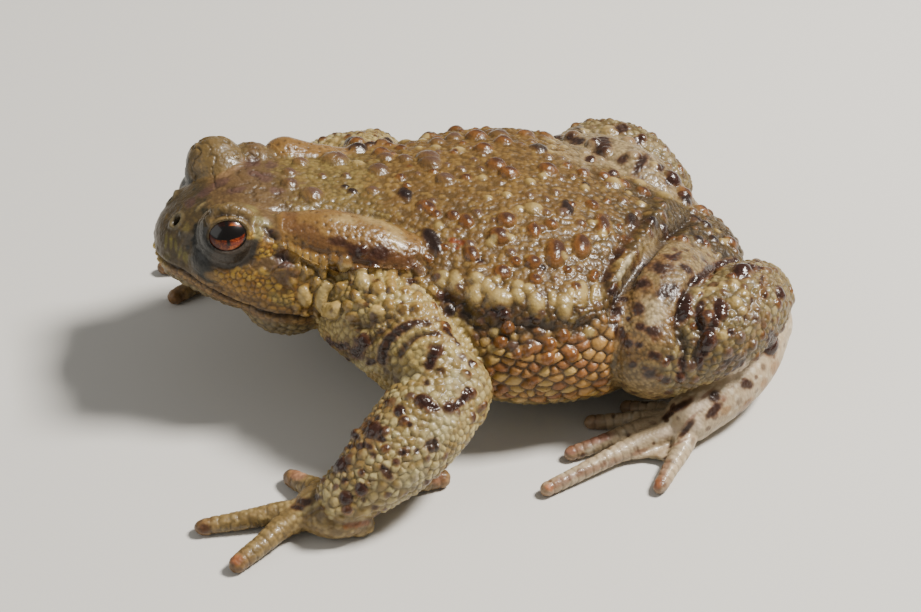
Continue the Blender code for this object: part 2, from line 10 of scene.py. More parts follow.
import bmesh
import bpy
import numpy as np
from mathutils import Euler, Matrix, Vector
from mathutils.bvhtree import BVHTree
from mathutils.kdtree import KDTree

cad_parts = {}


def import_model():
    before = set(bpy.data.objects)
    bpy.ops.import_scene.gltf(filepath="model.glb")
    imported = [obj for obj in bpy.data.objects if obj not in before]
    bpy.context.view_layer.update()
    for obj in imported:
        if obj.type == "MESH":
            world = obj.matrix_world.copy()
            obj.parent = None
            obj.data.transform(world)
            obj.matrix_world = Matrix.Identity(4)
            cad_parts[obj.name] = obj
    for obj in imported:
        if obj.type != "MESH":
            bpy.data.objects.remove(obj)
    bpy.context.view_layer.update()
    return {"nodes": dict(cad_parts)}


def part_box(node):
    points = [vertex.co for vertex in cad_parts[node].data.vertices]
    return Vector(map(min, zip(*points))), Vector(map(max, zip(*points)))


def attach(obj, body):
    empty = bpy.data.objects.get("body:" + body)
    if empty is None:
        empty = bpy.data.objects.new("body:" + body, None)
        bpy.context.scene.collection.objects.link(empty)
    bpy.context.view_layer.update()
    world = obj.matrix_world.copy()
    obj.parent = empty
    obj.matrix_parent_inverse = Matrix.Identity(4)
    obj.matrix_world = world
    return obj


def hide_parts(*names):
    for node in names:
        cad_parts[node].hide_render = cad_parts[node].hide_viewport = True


MM = 0.001
LEFT = -1
RIGHT = 1

# The view: picture size, lens and sensor, and the camera's place round its target
PICTURE = (921, 612)
LENS = 90
SENSOR = 36
CAMERA_AZIMUTH = math.radians(-4.7)
CAMERA_HEIGHT = math.radians(37)
CAMERA_DISTANCE = 376
CAMERA_TARGET = Vector((0.1, -20.0, 22.2))
PIXELS_PER_MM = 5.9

# The trunk: station along X, half-width, top, underside, height of the widest line
TRUNK = [
    (-26, 16.5, 33.0, 14.0, 23.0),
    (-20, 19.5, 33.5, 10.0, 21.0),
    (-12, 23.5, 33.3, 5.5, 19.0),
    (0, 28.5, 33.0, 1.5, 16.5),
    (12, 31.0, 32.2, -0.3, 15.0),
    (22, 29.5, 30.0, -0.3, 14.5),
    (31, 25.0, 27.0, 1.0, 14.5),
    (39, 19.0, 23.6, 4.0, 14.5),
    (45, 13.0, 20.4, 7.5, 14.6),
    (49, 7.5, 18.0, 11.0, 14.8),
    (50.5, 3.5, 16.4, 13.2, 14.9),
]
TRUNK_ROUNDNESS = 2.2
SECTION_POINTS = 72

# The head, with the same columns
HEAD = [
    (-49.6, 2.6, 27.6, 24.0, 25.8),
    (-48.7, 5.5, 29.1, 22.3, 25.6),
    (-46.9, 8.0, 30.7, 21.2, 25.4),
    (-44, 11.0, 33.0, 20.2, 25.0),
    (-40, 14.5, 34.8, 19.2, 24.5),
    (-35, 17.3, 36.0, 17.6, 24.0),
    (-29, 19.0, 35.2, 15.4, 23.5),
    (-23, 19.6, 34.2, 13.2, 23.0),
    (-18, 19.0, 33.6, 11.2, 22.5),
    (-12, 17.0, 33.0, 11.0, 22.0),
]
HEAD_ROUNDNESS = 2.35
HEAD_TURN = math.radians(6.3)
NECK = Vector((-20, 0, 24))

# Eyes: centre of the right one, its radius, and the opening between the lids
EYE = Vector((-38.2, 10.5, 33.4))
EYE_RADIUS = 4.3
EYE_LOOK = Vector((-0.10, 0.86, 0.50))
OPENING_LENGTH = 7.2
OPENING_HEIGHT = 5.8
LID_RIM = 0.75

# Parotoid glands, from behind the eye to over the shoulder: place and radius
PAROTOID = {
    LEFT: [(-27.5, -12, 32, 3.5), (-21.5, -12.4, 31, 4.9), (-14, -13.6, 29.1, 5.1), (-8.5, -14.6, 27.6, 4.2)],
    RIGHT: [(-27.5, 12.4, 31, 3.5), (-21.5, 12.6, 28, 4.3), (-14, 14, 25.8, 4.5), (-8.5, 15, 26.2, 3.8)],
}

# The closed mouth on the right side: along the head and up, from the snout tip to the jaw's angle
MOUTH = [(-49.3, 25.4), (-46.0, 26.0), (-42.0, 24.6), (-37.0, 23.2), (-30.0, 22.4), (-24.0, 20.6)]
# The far nostril: along the head and out from its middle. The near one has a place in the photo.
FAR_NOSTRIL = (-46.2, 6.4)

# Limbs: place and radius along each tube
UPPER_ARM = {
    LEFT: [(-15, -15, 20, 9.0), (-12.5, -20, 20.5, 8.8), (-7.5, -27, 18.5, 8.0), (-3, -33, 15, 6.9)],
    RIGHT: [(-14, 15, 18, 9.0), (-13, 22, 17.5, 8.2), (-12.5, 29, 16, 7.4), (-12, 33.5, 14.5, 6.8)],
}
FOREARM = {
    LEFT: [(-3.4, -34, 14.5, 6.8), (-7.8, -39, 13.2, 7.5), (-13.6, -44, 10.2, 6.7), (-20.5, -47.2, 5.8, 4.5)],
    RIGHT: [(-12.6, 34.5, 14, 6.6), (-18.5, 35, 12.4, 7.1), (-26.5, 32, 9.2, 6.2), (-33.5, 27.5, 5.4, 4.5)],
}
PALM = {LEFT: (-22.5, -46.8, 3.2), RIGHT: (-35.5, 25.5, 3.2)}
PALM_SIZE = (6.4, 5.2, 3.6)
# Each finger: a knuckle and the tip, on the floor
FINGERS = {
    LEFT: [
        ((-13.0, -40.8), (-4.5, -38.6), 1.75),
        ((-24.5, -41.5), (-28.8, -36.4), 1.75),
        ((-30.5, -45.8), (-43.1, -46.9), 1.55),
        ((-29.5, -48.5), (-37.6, -55.9), 1.65),
    ],
    RIGHT: [
        ((-33.0, 18.0), (-28.5, 10.5), 1.75),
        ((-41.0, 19.5), (-48.4, 14.6), 1.6),
        ((-42.5, 24.2), (-50.6, 23.8), 1.55),
        ((-40.5, 29.0), (-47.5, 34.0), 1.6),
    ],
}
THIGH = {
    LEFT: [(38, -9, 15.5, 7.6), (35.5, -13, 17.5, 8.8), (33.2, -18.5, 17.2, 9.2), (31.8, -23.8, 14.6, 8.6)],
    RIGHT: [(38, 9, 15.5, 7.6), (33.5, 14.5, 17.8, 8.8), (28, 21, 17.6, 8.6), (23.5, 26.5, 15.6, 7.6)],
}
SHANK = {
    LEFT: [(35.5, -25.5, 15, 6.6), (41.5, -23, 16.4, 7.6), (47, -17.4, 16.6, 7.6), (51, -11, 13.8, 6.5)],
    RIGHT: [(24.5, 29.5, 14, 7.0), (30, 31, 15.2, 7.7), (35.5, 29, 15, 7.2), (40, 24.5, 13, 5.9)],
}
FOOT = {
    LEFT: [(52.4, -12.5, 9.6, 5.2), (49, -19, 7.2, 5.2), (43.4, -25.0, 5.6, 5.0), (37.6, -29.4, 4.0, 4.3)],
    RIGHT: [(40.5, 26.5, 10.2, 5.0), (38.5, 33, 7.6, 4.7), (33.5, 38.5, 5.0, 4.4), (27, 41.5, 3.6, 4.0)],
}
# Each toe, from the inmost: a knuckle and the tip
TOES = {
    LEFT: [
        ((33.5, -25.5), (28.0, -22.8)),
        ((30.5, -27.5), (21.5, -26.2)),
        ((28.5, -30.2), (17.2, -33.9)),
        ((28.0, -33.6), (12.3, -42.3)),
        ((35.6, -34.8), (30.5, -43.3)),
    ],
    RIGHT: [
        ((22.8, 37.8), (18.0, 34.6)),
        ((20.0, 39.6), (11.5, 38.2)),
        ((18.4, 42.0), (7.0, 43.8)),
        ((18.0, 44.6), (3.0, 51.4)),
        ((24.6, 46.8), (20.4, 55.0)),
    ],
}
TOE_RADIUS = 1.45
WEB_THICKNESS = 0.9
WEB_REACH = 0.62

# How finely the skin is made: the spacing of its points, and the rounds of smoothing
VOXEL = 0.225
SMOOTHING = 30

# What the skin is like in each part of the body: the colour between its grains or cells, their radius,
# their height over that radius, how much of the skin grains cover, and the tints that they are drawn in
REGIONS = {
    "back": ("#72592c", 0.60, 0.30, 0.85, ["#6e562c", "#7a6234", "#664e26", "#826b3c"]),
    "nape": ("#766438", 0.50, 0.26, 0.80, ["#766338", "#807042", "#6b5730"]),
    "crown": ("#685336", 0.40, 0.10, 0.50, ["#624e35", "#6f5b3c"]),
    "lid": ("#6e5c38", 0.45, 0.12, 0.50, ["#685636", "#776440"]),
    "snout": ("#56482c", 0.40, 0.08, 0.50, ["#50432a", "#60512f"]),
    # The lore is drawn near black: painted shadow on the side of the snout
    "shadowed_lore": ("#191b14", 0.45, 0.08, 0.40, ["#181a13", "#212318"]),
    "under_lid": ("#40382f", 0.40, 0.04, 0.20, ["#40382f"]),
    "cheek": ("#86662b", 0.58, 0.44, 0.85, ["#987832", "#8b6a2d", "#a5893f", "#785722"]),
    "lip": ("#7a5f36", 0.60, 0.24, 0.85, ["#80663a", "#745a32", "#8a7044"]),
    "jaw_corner": ("#a08852", 1.00, 0.60, 0.90, ["#ae985c", "#a28b54", "#baa768", "#967c45"]),
    "ear": ("#6a5440", 0.50, 0.16, 0.60, ["#665040", "#746050", "#5a4636"]),
    "gland": ("#7e6238", 0.45, 0.05, 0.40, ["#7e6238", "#866c40"]),
    "throat": ("#6e6040", 0.85, 0.34, 0.80, ["#746644", "#7c6e4c", "#6a5c3c"]),
    "upper_flank": ("#54401b", 0.66, 0.46, 0.95, ["#5c4720", "#655428", "#523b18", "#5e441b", "#6a5a2e"]),
    "lower_flank": ("#785a2e", 1.10, 0.66, 0.90, ["#a2804a", "#96703e", "#ac925a", "#885e36", "#9c7a46"]),
    "belly": ("#8c7e58", 1.00, 0.34, 0.80, ["#92845e", "#9a8c68", "#86784e"]),
    "rump": ("#4c3b18", 0.60, 0.36, 0.95, ["#48391a", "#53421e", "#5a4b23"]),
    "upper_arm": ("#8d7b4c", 0.70, 0.50, 0.55, ["#968554", "#a19162", "#8b7648"]),
    "forearm": ("#8b7a51", 0.80, 0.50, 0.55, ["#93845c", "#9e9168", "#826f43", "#a49972"]),
    "hand": ("#86724a", 0.50, 0.16, 0.70, ["#8c7850", "#96845c", "#7c6842"]),
    "thigh": ("#84714e", 0.42, 0.20, 0.85, ["#84714e", "#8f7d5a", "#796644"]),
    "shank": ("#685a39", 0.75, 0.42, 0.60, ["#72633f", "#7d6e4a", "#675634", "#877a56"]),
    "foot": ("#ad9d83", 0.50, 0.08, 0.40, ["#b2a48c", "#a6957d", "#bcb29e"]),
}
# The regions paved with swollen cells instead of grains, and how far the cells are stretched in X, Y and Z
PAVED = {
    "cheek": (1.0, 1.0, 1.0),
    "lip": (1.3, 1.3, 0.8),
    "jaw_corner": (0.85, 1.0, 1.2),
    "throat": (1.0, 1.0, 1.0),
    "lower_flank": (1.2, 1.1, 0.85),
    "belly": (1.0, 1.0, 1.0),
    "upper_arm": (1.0, 1.0, 1.0),
    "forearm": (1.0, 1.0, 1.0),
    "shank": (1.0, 1.0, 1.0),
}
# The seeds of the random draws. Each paved region adds its own number to the pavement's.
SEEDS = {
    "grains": 7, "gland": 19, "far_warts": 23, "far_spots": 29,
    "small_warts": 37, "freckles": 43, "pavement": 100,
}
FAR_WART_COUNT = 60
# The drawn colours are deepened, since the renderer's view makes them paler: contrast, then gain
COLOUR_CONTRAST = 1.22
COLOUR_GAIN = 1.22
# How much darker the skin is painted between the grains, partly its darker colour there and partly painted
# shade in the gaps, and how much it varies over the whole body
GAP_TONE_AND_SHADE = 0.68
BODY_MOTTLE = 0.22
MARK_TINT = "#38231d"
FRINGE_TINT = "#6a4830"

# Large warts that the photo shows: kind, then column, row and radius in millimetres
WARTS_PX = {
    "smooth": [
        (300, 163, 1.6), (334, 160, 2.6), (312, 196, 2.1), (289, 184, 1.6), (289, 173, 1.3),
        (372, 191, 1.2), (385, 158, 1.5), (404, 159, 1.4), (428, 158, 2.1), (445, 180, 1.8),
        (346, 176, 0.9), (322, 176, 0.8),
    ],
    "brown": [
        (424, 206, 1.4), (453, 216, 1.2), (466, 223, 1.4), (506, 221, 1.8), (499, 237, 1.95),
        (502, 273, 1.5), (534, 230, 1.3), (551, 225, 1.3), (592, 206, 1.3), (581, 224, 1.0),
        (533, 263, 1.4), (515, 262, 1.0), (535, 280, 1.2), (509, 174, 1.8), (623, 185, 1.4),
        (643, 193, 1.5), (604, 177, 1.3), (626, 240, 1.1), (445, 328, 1.3), (707, 318, 1.5),
        (683, 241, 1.3), (701, 211, 1.5), (730, 243, 1.5), (593, 279, 0.9), (567, 270, 0.8),
        (434, 306, 0.9),
    ],
    "dark": [
        (405, 194, 1.2), (362, 251, 0.9), (666, 230, 1.4), (649, 227, 1.5), (388, 142, 1.3),
        (369, 148, 1.4), (345, 187, 0.7), (352, 192, 0.9), (585, 185, 0.8), (685, 202, 1.5),
        (696, 218, 1.2), (706, 225, 1.2), (714, 240, 1.1), (699, 241, 1.3), (669, 232, 1.1),
        (742, 270, 1.8), (721, 307, 1.1), (721, 315, 1.2), (708, 341, 1.6), (762, 286, 0.9),
        (780, 294, 1.4), (770, 343, 1.9), (341, 465, 1.6), (361, 489, 1.1), (346, 498, 1.2),
        (423, 401, 1.5), (448, 408, 1.2), (466, 396, 1.1), (373, 430, 1.6), (434, 351, 1.5),
        (685, 298, 1.2), (685, 308, 1.2), (542, 268, 0.7), (449, 311, 1.1), (400, 411, 0.9),
        (364, 340, 1.2),
    ],
    "pale": [
        (533, 209, 1.7), (664, 198, 1.8), (476, 281, 1.3), (517, 287, 1.1), (527, 291, 1.1),
        (710, 291, 1.2), (721, 286, 1.1), (733, 285, 1.2), (736, 303, 1.3), (744, 294, 1.0),
        (699, 293, 1.1), (487, 290, 1.3), (443, 276, 1.1),
    ],
    "rust": [
        (501, 342, 1.2), (528, 350, 1.1), (550, 345, 1.2), (548, 358, 1.3), (572, 355, 1.3),
        (564, 336, 1.2), (508, 328, 1.2), (517, 354, 1.0), (490, 370, 1.0), (533, 379, 1.0),
    ],
}
# Long warts and lobes, as ovals in the picture: middle, half length, half width and lean
LONG_WARTS_PX = {
    "brown": [
        (471, 254, 11, 8, 60), (555, 254, 16, 11, 82), (581, 247, 13, 10, 75), (602, 225, 12, 8, 70),
        (534, 231, 9, 7, 80), (466, 222, 9, 7, 60), (429, 208, 9, 7, 50),
    ],
    "dark": [(432, 243, 18, 9, 58), (566, 209, 10, 7, 75), (632, 222, 10, 7, 60), (405, 195, 9, 6, 50)],
    "pale": [
        (455, 284, 15, 9, 85), (473, 297, 12, 9, 75), (499, 301, 15, 11, 15), (517, 298, 10, 7, 60),
        (535, 305, 14, 10, 80), (551, 300, 10, 5, 85), (562, 307, 15, 10, 80), (580, 294, 15, 9, 95),
        (596, 295, 16, 8, 98), (440, 280, 11, 6, 75), (487, 288, 9, 6, 80), (569, 296, 8, 5, 90),
    ],
}
# How a kind of wart looks: its height over its radius, its side, its top, and how wide the top is
WART_KINDS = {
    "smooth": (0.58, "#6c5436", "#58443a", 0.60),
    "brown": (0.68, "#744e28", "#402a22", 0.55),
    "dark": (0.52, "#4a3226", "#221614", 0.80),
    "pale": (0.46, "#8e7a4e", "#a08e60", 0.60),
    "rust": (0.95, "#84592c", "#6c4826", 0.45),
}
# How far a wart's dark part lies to its upper right, in its radius
TOP_SHIFT = 0.22

# The curved one behind the mouth: its route and its radius
CURVED_TUBERCLE_PX = [
    (327, 286), (323, 291), (321, 298), (322, 304), (326, 309), (331, 311), (337, 310),
]
CURVED_TUBERCLE_RADIUS = (1.0, 1.55)
# How a tubercle swells: the power of its dome, how fast it covers and tints the skin, and its tint's limit
TUBERCLE_SWELL = (0.7, 1.4, 1.6, 0.9)
CURVED_TUBERCLE_SWELL = (0.6, 1.6, 1.8, 0.95)
# Swollen tubercles at the jaw's corner and on the neck, by tint: column, row, half-length, half-width, lean
TUBERCLES_PX = {
    "#8e7646": [
        (331, 282, 6, 6), (340, 286, 6, 6), (348, 306, 7, 6, 80), (355, 295, 6, 5, 80),
        (362, 304, 8, 5, 10), (378, 289, 8, 8, 80), (391, 287, 9, 6, 80), (392, 275, 7, 6),
        (305, 272, 9, 5, 85), (323, 273, 7, 5, 80), (334, 270, 7, 5, 80), (389, 305, 7, 6, 80),
        (403, 309, 7, 6), (305, 315, 5, 4), (405, 291, 6, 5), (417, 297, 6, 5, 20), (432, 291, 6, 6),
        (420, 281, 5, 5), (316, 283, 5, 7), (374, 268, 6, 6), (404, 272, 6, 6), (416, 308, 7, 6),
        (318, 312, 5, 5), (353, 317, 8, 6), (371, 299, 6, 5), (292, 247, 7, 4, 55), (300, 252, 9, 4, 65),
        (308, 257, 10, 4, 70), (316, 260, 10, 5, 74), (325, 262, 9, 5, 78), (298, 264, 7, 4, 80),
        (310, 271, 6, 5, 80), (334, 258, 6, 5, 60), (292, 282, 6, 5, 70), (298, 306, 5, 5, 60),
        (283, 246, 5, 4, 20), (356, 268, 6, 5, 80), (352, 276, 6, 4, 85), (371, 278, 6, 4, 85),
    ],
    "#b09a66": [(305, 296, 12, 8, 80), (345, 262, 8, 8), (362, 279, 12, 8, 85), (377, 312, 9, 7)],
}
# Dark marks that lie in the skin: column, row, half-length, half-width and, where it has one, lean
SPOTS_PX = [
    (660, 268, 12, 7, 5), (642, 284, 10, 5, -8), (668, 292, 11, 7, -5), (638, 309, 7, 6),
    (672, 258, 9, 3, 15), (686, 268, 8, 3, 40), (617, 296, 5, 6), (622, 332, 4, 6), (650, 373, 8, 5, 10),
    (619, 311, 5, 5), (653, 331, 8, 6, 10), (640, 327, 5, 4), (615, 329, 4, 8), (628, 344, 5, 4),
    (639, 345, 4, 3), (654, 355, 7, 5, 10), (670, 358, 4, 3), (665, 379, 5, 4), (679, 376, 4, 6),
    (682, 364, 4, 8), (701, 358, 3, 8, 10), (633, 365, 4, 3), (645, 368, 4, 3), (625, 298, 3, 3),
    (628, 319, 3, 3), (742, 270, 10, 6, 15), (722, 265, 12, 3), (698, 280, 10, 4, -20), (685, 304, 6, 14),
    (721, 311, 6, 9, 10), (708, 341, 9, 8, -30), (700, 361, 3, 9, 5), (770, 343, 7, 11, 10),
    (780, 294, 6, 6), (764, 284, 3, 6), (733, 359, 14, 3, -30), (757, 268, 5, 3, 20), (752, 300, 3, 3),
    (745, 318, 3, 3), (762, 322, 3, 4), (730, 332, 3, 3), (746, 384, 6, 5), (715, 396, 6, 6),
    (714, 410, 11, 4, -45), (686, 430, 10, 3, -50), (680, 406, 13, 3, -30), (659, 460, 17, 4, -65),
    (668, 416, 6, 2, -30), (770, 386, 4, 5), (434, 352, 8, 8), (431, 361, 5, 6), (470, 364, 3, 4),
    (331, 342, 6, 6), (344, 345, 5, 4), (364, 340, 7, 6), (358, 352, 7, 7), (367, 375, 5, 4),
    (372, 362, 5, 3, -20), (349, 358, 5, 3), (427, 384, 4, 4), (423, 402, 8, 8, 10), (435, 407, 5, 3, 10),
    (448, 408, 6, 5, -10), (458, 403, 6, 4, -35), (466, 395, 5, 5, -50), (400, 411, 6, 5, 10),
    (373, 430, 10, 10), (402, 453, 5, 4), (416, 451, 3, 3), (431, 446, 7, 6, -30), (387, 472, 9, 4, 50),
    (341, 466, 9, 9), (361, 489, 5, 6), (346, 498, 6, 6), (357, 437, 5, 3, 30), (362, 446, 6, 3, -30),
    (352, 447, 4, 3), (370, 447, 4, 3, 20), (382, 440, 4, 3), (378, 418, 5, 3, -40), (388, 402, 4, 3),
    (410, 425, 3, 3), (345, 480, 4, 4), (304, 502, 7, 4), (297, 508, 6, 3), (318, 497, 4, 3),
    (322, 508, 4, 2), (499, 314, 12, 7, 5), (448, 299, 10, 5, 15), (532, 320, 9, 2, 5), (411, 281, 6, 5),
    (616, 256, 9, 4, -55), (606, 277, 4, 6), (610, 293, 5, 4, -40), (603, 147, 9, 11), (576, 141, 8, 5),
    (622, 129, 7, 5), (556, 137, 6, 3), (640, 165, 5, 13, 30), (623, 160, 5, 5), (638, 141, 6, 4),
    (670, 149, 7, 4, 40), (671, 181, 7, 5, 30), (682, 160, 4, 6), (590, 160, 5, 4), (660, 168, 4, 4),
    (612, 175, 5, 3), (271, 230, 3, 3), (480, 262, 4, 3), (645, 262, 5, 3), (676, 255, 8, 2, -30),
]
# Soft marks: colour, strength, and then the same columns. Some are painted highlights, and one is painted
# shadow.
MOTTLES_PX = [
    ("#827a3c", 0.65, [
        (166, 241, 2, 10, 5), (171, 243, 2, 9), (176, 246, 2, 8, -5), (186, 257, 3, 6, -10),
        (180, 252, 2, 6, 10),
    ]),
    ("#6a6238", 0.5, [(186, 229, 4, 6), (168, 256, 4, 5)]),
    ("#82784c", 0.6, [(284, 302, 10, 6, 10), (274, 296, 7, 4, 10), (251, 209, 8, 4, 10)]),
    # Painted shadow that darkens the lore further
    ("#12140e", 0.8, [(201, 232, 7, 14), (205, 250, 9, 10, 20), (196, 258, 6, 8)]),
    ("#98783a", 0.5, [
        (212, 276, 8, 5, 20), (226, 282, 10, 5, 20), (243, 286, 11, 5, 15), (262, 292, 10, 5, 10),
    ]),
    ("#96906c", 0.6, [(259, 232, 6, 9), (262, 221, 11, 5, 10)]),
    ("#a2844a", 0.6, [(308, 260, 26, 9, 18), (294, 252, 12, 7, 20)]),
    ("#a8986c", 0.5, [(327, 296, 14, 19), (362, 280, 10, 12), (346, 264, 8, 8)]),
    ("#5c4240", 0.6, [
        (252, 162, 9, 6), (271, 165, 8, 5), (254, 173, 8, 4, 10), (266, 178, 9, 5), (283, 255, 8, 9, 10),
        (222, 182, 12, 4, -20), (236, 190, 12, 4, -10), (275, 190, 9, 4), (206, 192, 10, 4, -30),
        (284, 263, 9, 8, 20), (190, 203, 7, 5, -50),
    ]),
    # Painted highlights on the upper lid
    ("#94785a", 0.5, [(236, 168, 9, 3, -15), (225, 174, 8, 3, -15), (244, 160, 6, 3, -20)]),
    ("#674a2e", 0.75, [
        (290, 224, 12, 12, 10), (306, 233, 14, 8, 15), (322, 243, 16, 8, 15), (350, 214, 20, 3, 8),
    ]),
    ("#4c3e24", 0.5, [(352, 352, 26, 14, 20), (392, 372, 12, 10, 30)]),
    ("#3c2218", 0.85, [
        (338, 242, 11, 6, 20), (355, 250, 10, 7, 10), (380, 253, 13, 8, 10), (371, 262, 9, 4, 10),
    ]),
    # Paler marks along the gland's ridge: painted highlight for the most part, the rest its own pale colour
    ("#b4a274", 0.4, [(372, 222, 22, 6, 15), (395, 240, 14, 9, 50), (344, 222, 16, 5, 10)]),
    ("#7a3812", 0.75, [(453, 241, 5, 4), (461, 243, 5, 4, 20), (457, 248, 4, 3), (611, 292, 3, 5)]),
    ("#7a5a30", 0.5, [
        (640, 300, 30, 26), (632, 345, 26, 20), (665, 330, 14, 24), (655, 262, 24, 8, -10),
    ]),
    # Painted highlight on the thigh
    ("#b8aa8a", 0.6, [(653, 308, 14, 12, 20), (652, 322, 9, 9)]),
    ("#a89878", 0.5, [(606, 152, 60, 22, 10)]),
    # Painted highlight along the ridge of the fold before the thigh
    ("#c0b494", 0.8, [(621, 272, 16, 4, -60)]),
    ("#6e5228", 0.45, [(362, 440, 14, 30, 20), (386, 402, 12, 16, -30)]),
    ("#aca480", 0.5, [
        (440, 428, 14, 28, 20), (456, 384, 12, 16), (412, 478, 18, 12, -40), (366, 366, 16, 6, 20),
    ]),
    ("#a89a68", 0.5, [
        (398, 346, 14, 3, -50), (418, 331, 12, 2, -10), (452, 350, 8, 6, 20), (316, 508, 18, 6, -20),
    ]),
    ("#8c5426", 0.7, [(358, 524, 14, 4, -10)]),
    ("#3c2a20", 0.8, [(204, 528, 6, 5)]),
    ("#bc7c54", 0.8, [(236, 561, 7, 6), (657, 484, 5, 6), (549, 487, 5, 4)]),
    ("#b48a70", 0.8, [(299, 474, 9, 8), (436, 478, 10, 8)]),
    ("#a4746a", 0.6, [(600, 438, 18, 5, -10), (641, 461, 9, 5, 20), (570, 452, 8, 4)]),
    ("#8a6434", 0.6, [
        (748, 406, 12, 6, -45), (725, 411, 8, 4, -40), (764, 385, 6, 8), (776, 368, 6, 10),
    ]),
    ("#cabaa6", 0.7, [
        (738, 372, 16, 7, -40), (700, 402, 16, 8, -45), (668, 432, 14, 6, -20), (694, 424, 10, 8, -45),
    ]),
    ("#7a5644", 0.6, [
        (690, 420, 14, 2, -45), (676, 444, 14, 2, -25), (706, 395, 12, 2, -42), (640, 452, 12, 3, -20),
        (590, 470, 40, 5, -20), (562, 482, 14, 6, -20), (600, 436, 24, 4, -12), (664, 470, 14, 5, -65),
        (724, 398, 5, 5), (716, 408, 8, 6, -45), (684, 405, 14, 4, -35), (580, 445, 14, 7, -20),
    ]),
]
# Dark bands round the arm: the route in the picture and the band's half width in mm
BANDS_PX = [
    ([(382, 360), (385, 350), (392, 338), (401, 330), (412, 326), (427, 325)], 0.75),
    ([(402, 355), (405, 347), (411, 340), (422, 334), (438, 335)], 0.6),
    ([(436, 346), (432, 355), (430, 364)], 0.8),
    ([(443, 331), (452, 336), (458, 344)], 0.35),
    ([(447, 409), (456, 405), (463, 399), (467, 391)], 0.65),
    ([(420, 399), (426, 404), (436, 408)], 0.7),
    ([(328, 340), (336, 345), (346, 346)], 0.6),
    ([(353, 353), (361, 350), (365, 341)], 0.7),
    ([(736, 262), (722, 264), (708, 270), (696, 280)], 0.7),
    ([(748, 266), (742, 274)], 1.2),
    ([(686, 296), (684, 306), (680, 318)], 0.9),
    ([(701, 304), (699, 318), (704, 330)], 0.6),
    ([(719, 302), (718, 314), (710, 332), (704, 352)], 0.75),
    ([(743, 360), (728, 372), (712, 381)], 0.5),
    ([(758, 262), (762, 280), (764, 296)], 0.45),
    ([(770, 334), (771, 350)], 1.1),
]

# Folds and creases: the route, then height, width and a tint for its line. The dark tints of the creases,
# whose heights are below zero, are painted shade in them; the tints of the ridges are their own colour.
FOLDS_PX = [
    ([(604, 306), (611, 286), (622, 266), (638, 244), (655, 216), (676, 199)], 1.2, 1.5, None),
    ([(597, 306), (601, 282), (611, 261), (629, 237), (647, 208)], -0.5, 0.8, "#4a3420"),
    ([(609, 324), (617, 300), (630, 277), (649, 254), (674, 230), (700, 214)], -1.3, 0.95, "#2a1a10"),
    ([(209, 214), (218, 209), (232, 208), (245, 212), (255, 219)], 0.8, 1.1, "#74603a"),
    ([(209, 220), (220, 214), (235, 214), (249, 220), (256, 228)], -0.4, 0.5, "#2c1e12"),
    ([(195, 213), (200, 207), (207, 202)], 0.2, 0.35, "#857650"),
    ([(262, 224), (270, 234), (279, 241)], -0.6, 0.6, "#2c2420"),
    ([(280, 241), (300, 246), (324, 252), (350, 260), (380, 267)], -0.2, 0.4, "#74562e"),
    ([(296, 257), (306, 263), (317, 268), (330, 274)], 0.8, 2.0, None),
    ([(414, 254), (424, 270), (436, 284)], -0.45, 0.8, "#6a5434"),
    ([(378, 353), (388, 337), (405, 328), (426, 324)], 0.7, 0.9, None),
    ([(393, 356), (401, 343), (415, 333), (436, 331)], 0.7, 0.7, "#a09060"),
    ([(404, 362), (412, 350), (424, 343), (446, 343)], 0.7, 0.75, "#a09060"),
    ([(414, 370), (423, 358), (426, 348)], 0.5, 0.7, "#a09060"),
    ([(370, 345), (378, 334), (392, 324)], -0.5, 0.7, "#5a4428"),
    ([(345, 320), (368, 326), (392, 318), (410, 306)], -0.6, 0.8, "#5a4428"),
    ([(300, 520), (318, 508), (335, 505)], -0.35, 0.6, "#6a5434"),
    ([(322, 500), (336, 512), (345, 522)], 0.35, 0.8, None),
    ([(698, 272), (684, 298), (676, 325), (684, 350), (682, 375)], -1.0, 0.85, "#2e1e14"),
    ([(699, 318), (701, 335), (696, 352), (690, 372)], -0.7, 0.7, "#2e1e14"),
    ([(742, 322), (758, 300), (766, 280), (764, 266)], -0.3, 0.6, "#7a6240"),
    ([(720, 372), (742, 352), (757, 330), (771, 305)], -0.3, 0.6, "#7a6240"),
    ([(735, 335), (747, 318), (753, 298), (750, 280)], -0.25, 0.5, None),
]
# The crease under the overhanging flank
OVERHANG_PX = [(432, 283), (445, 297), (460, 309), (490, 325), (530, 326), (560, 333), (585, 326), (603, 316)]
OVERHANG_DEPTH = 0.65
OVERHANG_BULGE = 0.9
NEAR_NOSTRIL_PX = (176.5, 221)
NOSTRIL_DEPTH = 1.6

# The eye's marks as shares of its radius: the flat pupil's length, height and level, and the iris, past whose
# oval the rim is darkened with painted shadow
PUPIL_LENGTH = 1.30
PUPIL_HEIGHT = 0.52
PUPIL_LEVEL = 0.12
IRIS_LENGTH = 1.48
IRIS_HEIGHT = 1.22


def linear(code):
    """A colour written as #rrggbb, in the renderer's linear values."""
    values = [int(code[i:i + 2], 16) / 255 for i in (1, 3, 5)]
    return np.array([v / 12.92 if v <= 0.04045 else ((v + 0.055) / 1.055) ** 2.4 for v in values])


def step(values, start, end):
    """A soft step from 0 at start to 1 at end."""
    t = np.clip((values - start) / (end - start), 0, 1)
    return t * t * (3 - 2 * t)


def add_mesh(name, mesh):
    """A new object of the scene with the mesh."""
    body = bpy.data.objects.new(name, mesh)
    bpy.context.scene.collection.objects.link(body)
    return body


def place_on_head(point):
    """Where the turned head has a point of the straight head."""
    arm = Vector(point) - NECK
    cosine = math.cos(HEAD_TURN)
    sine = math.sin(HEAD_TURN)
    return Vector((
        NECK.x + arm.x * cosine - arm.y * sine,
        NECK.y + arm.x * sine + arm.y * cosine,
        point[2],
    ))


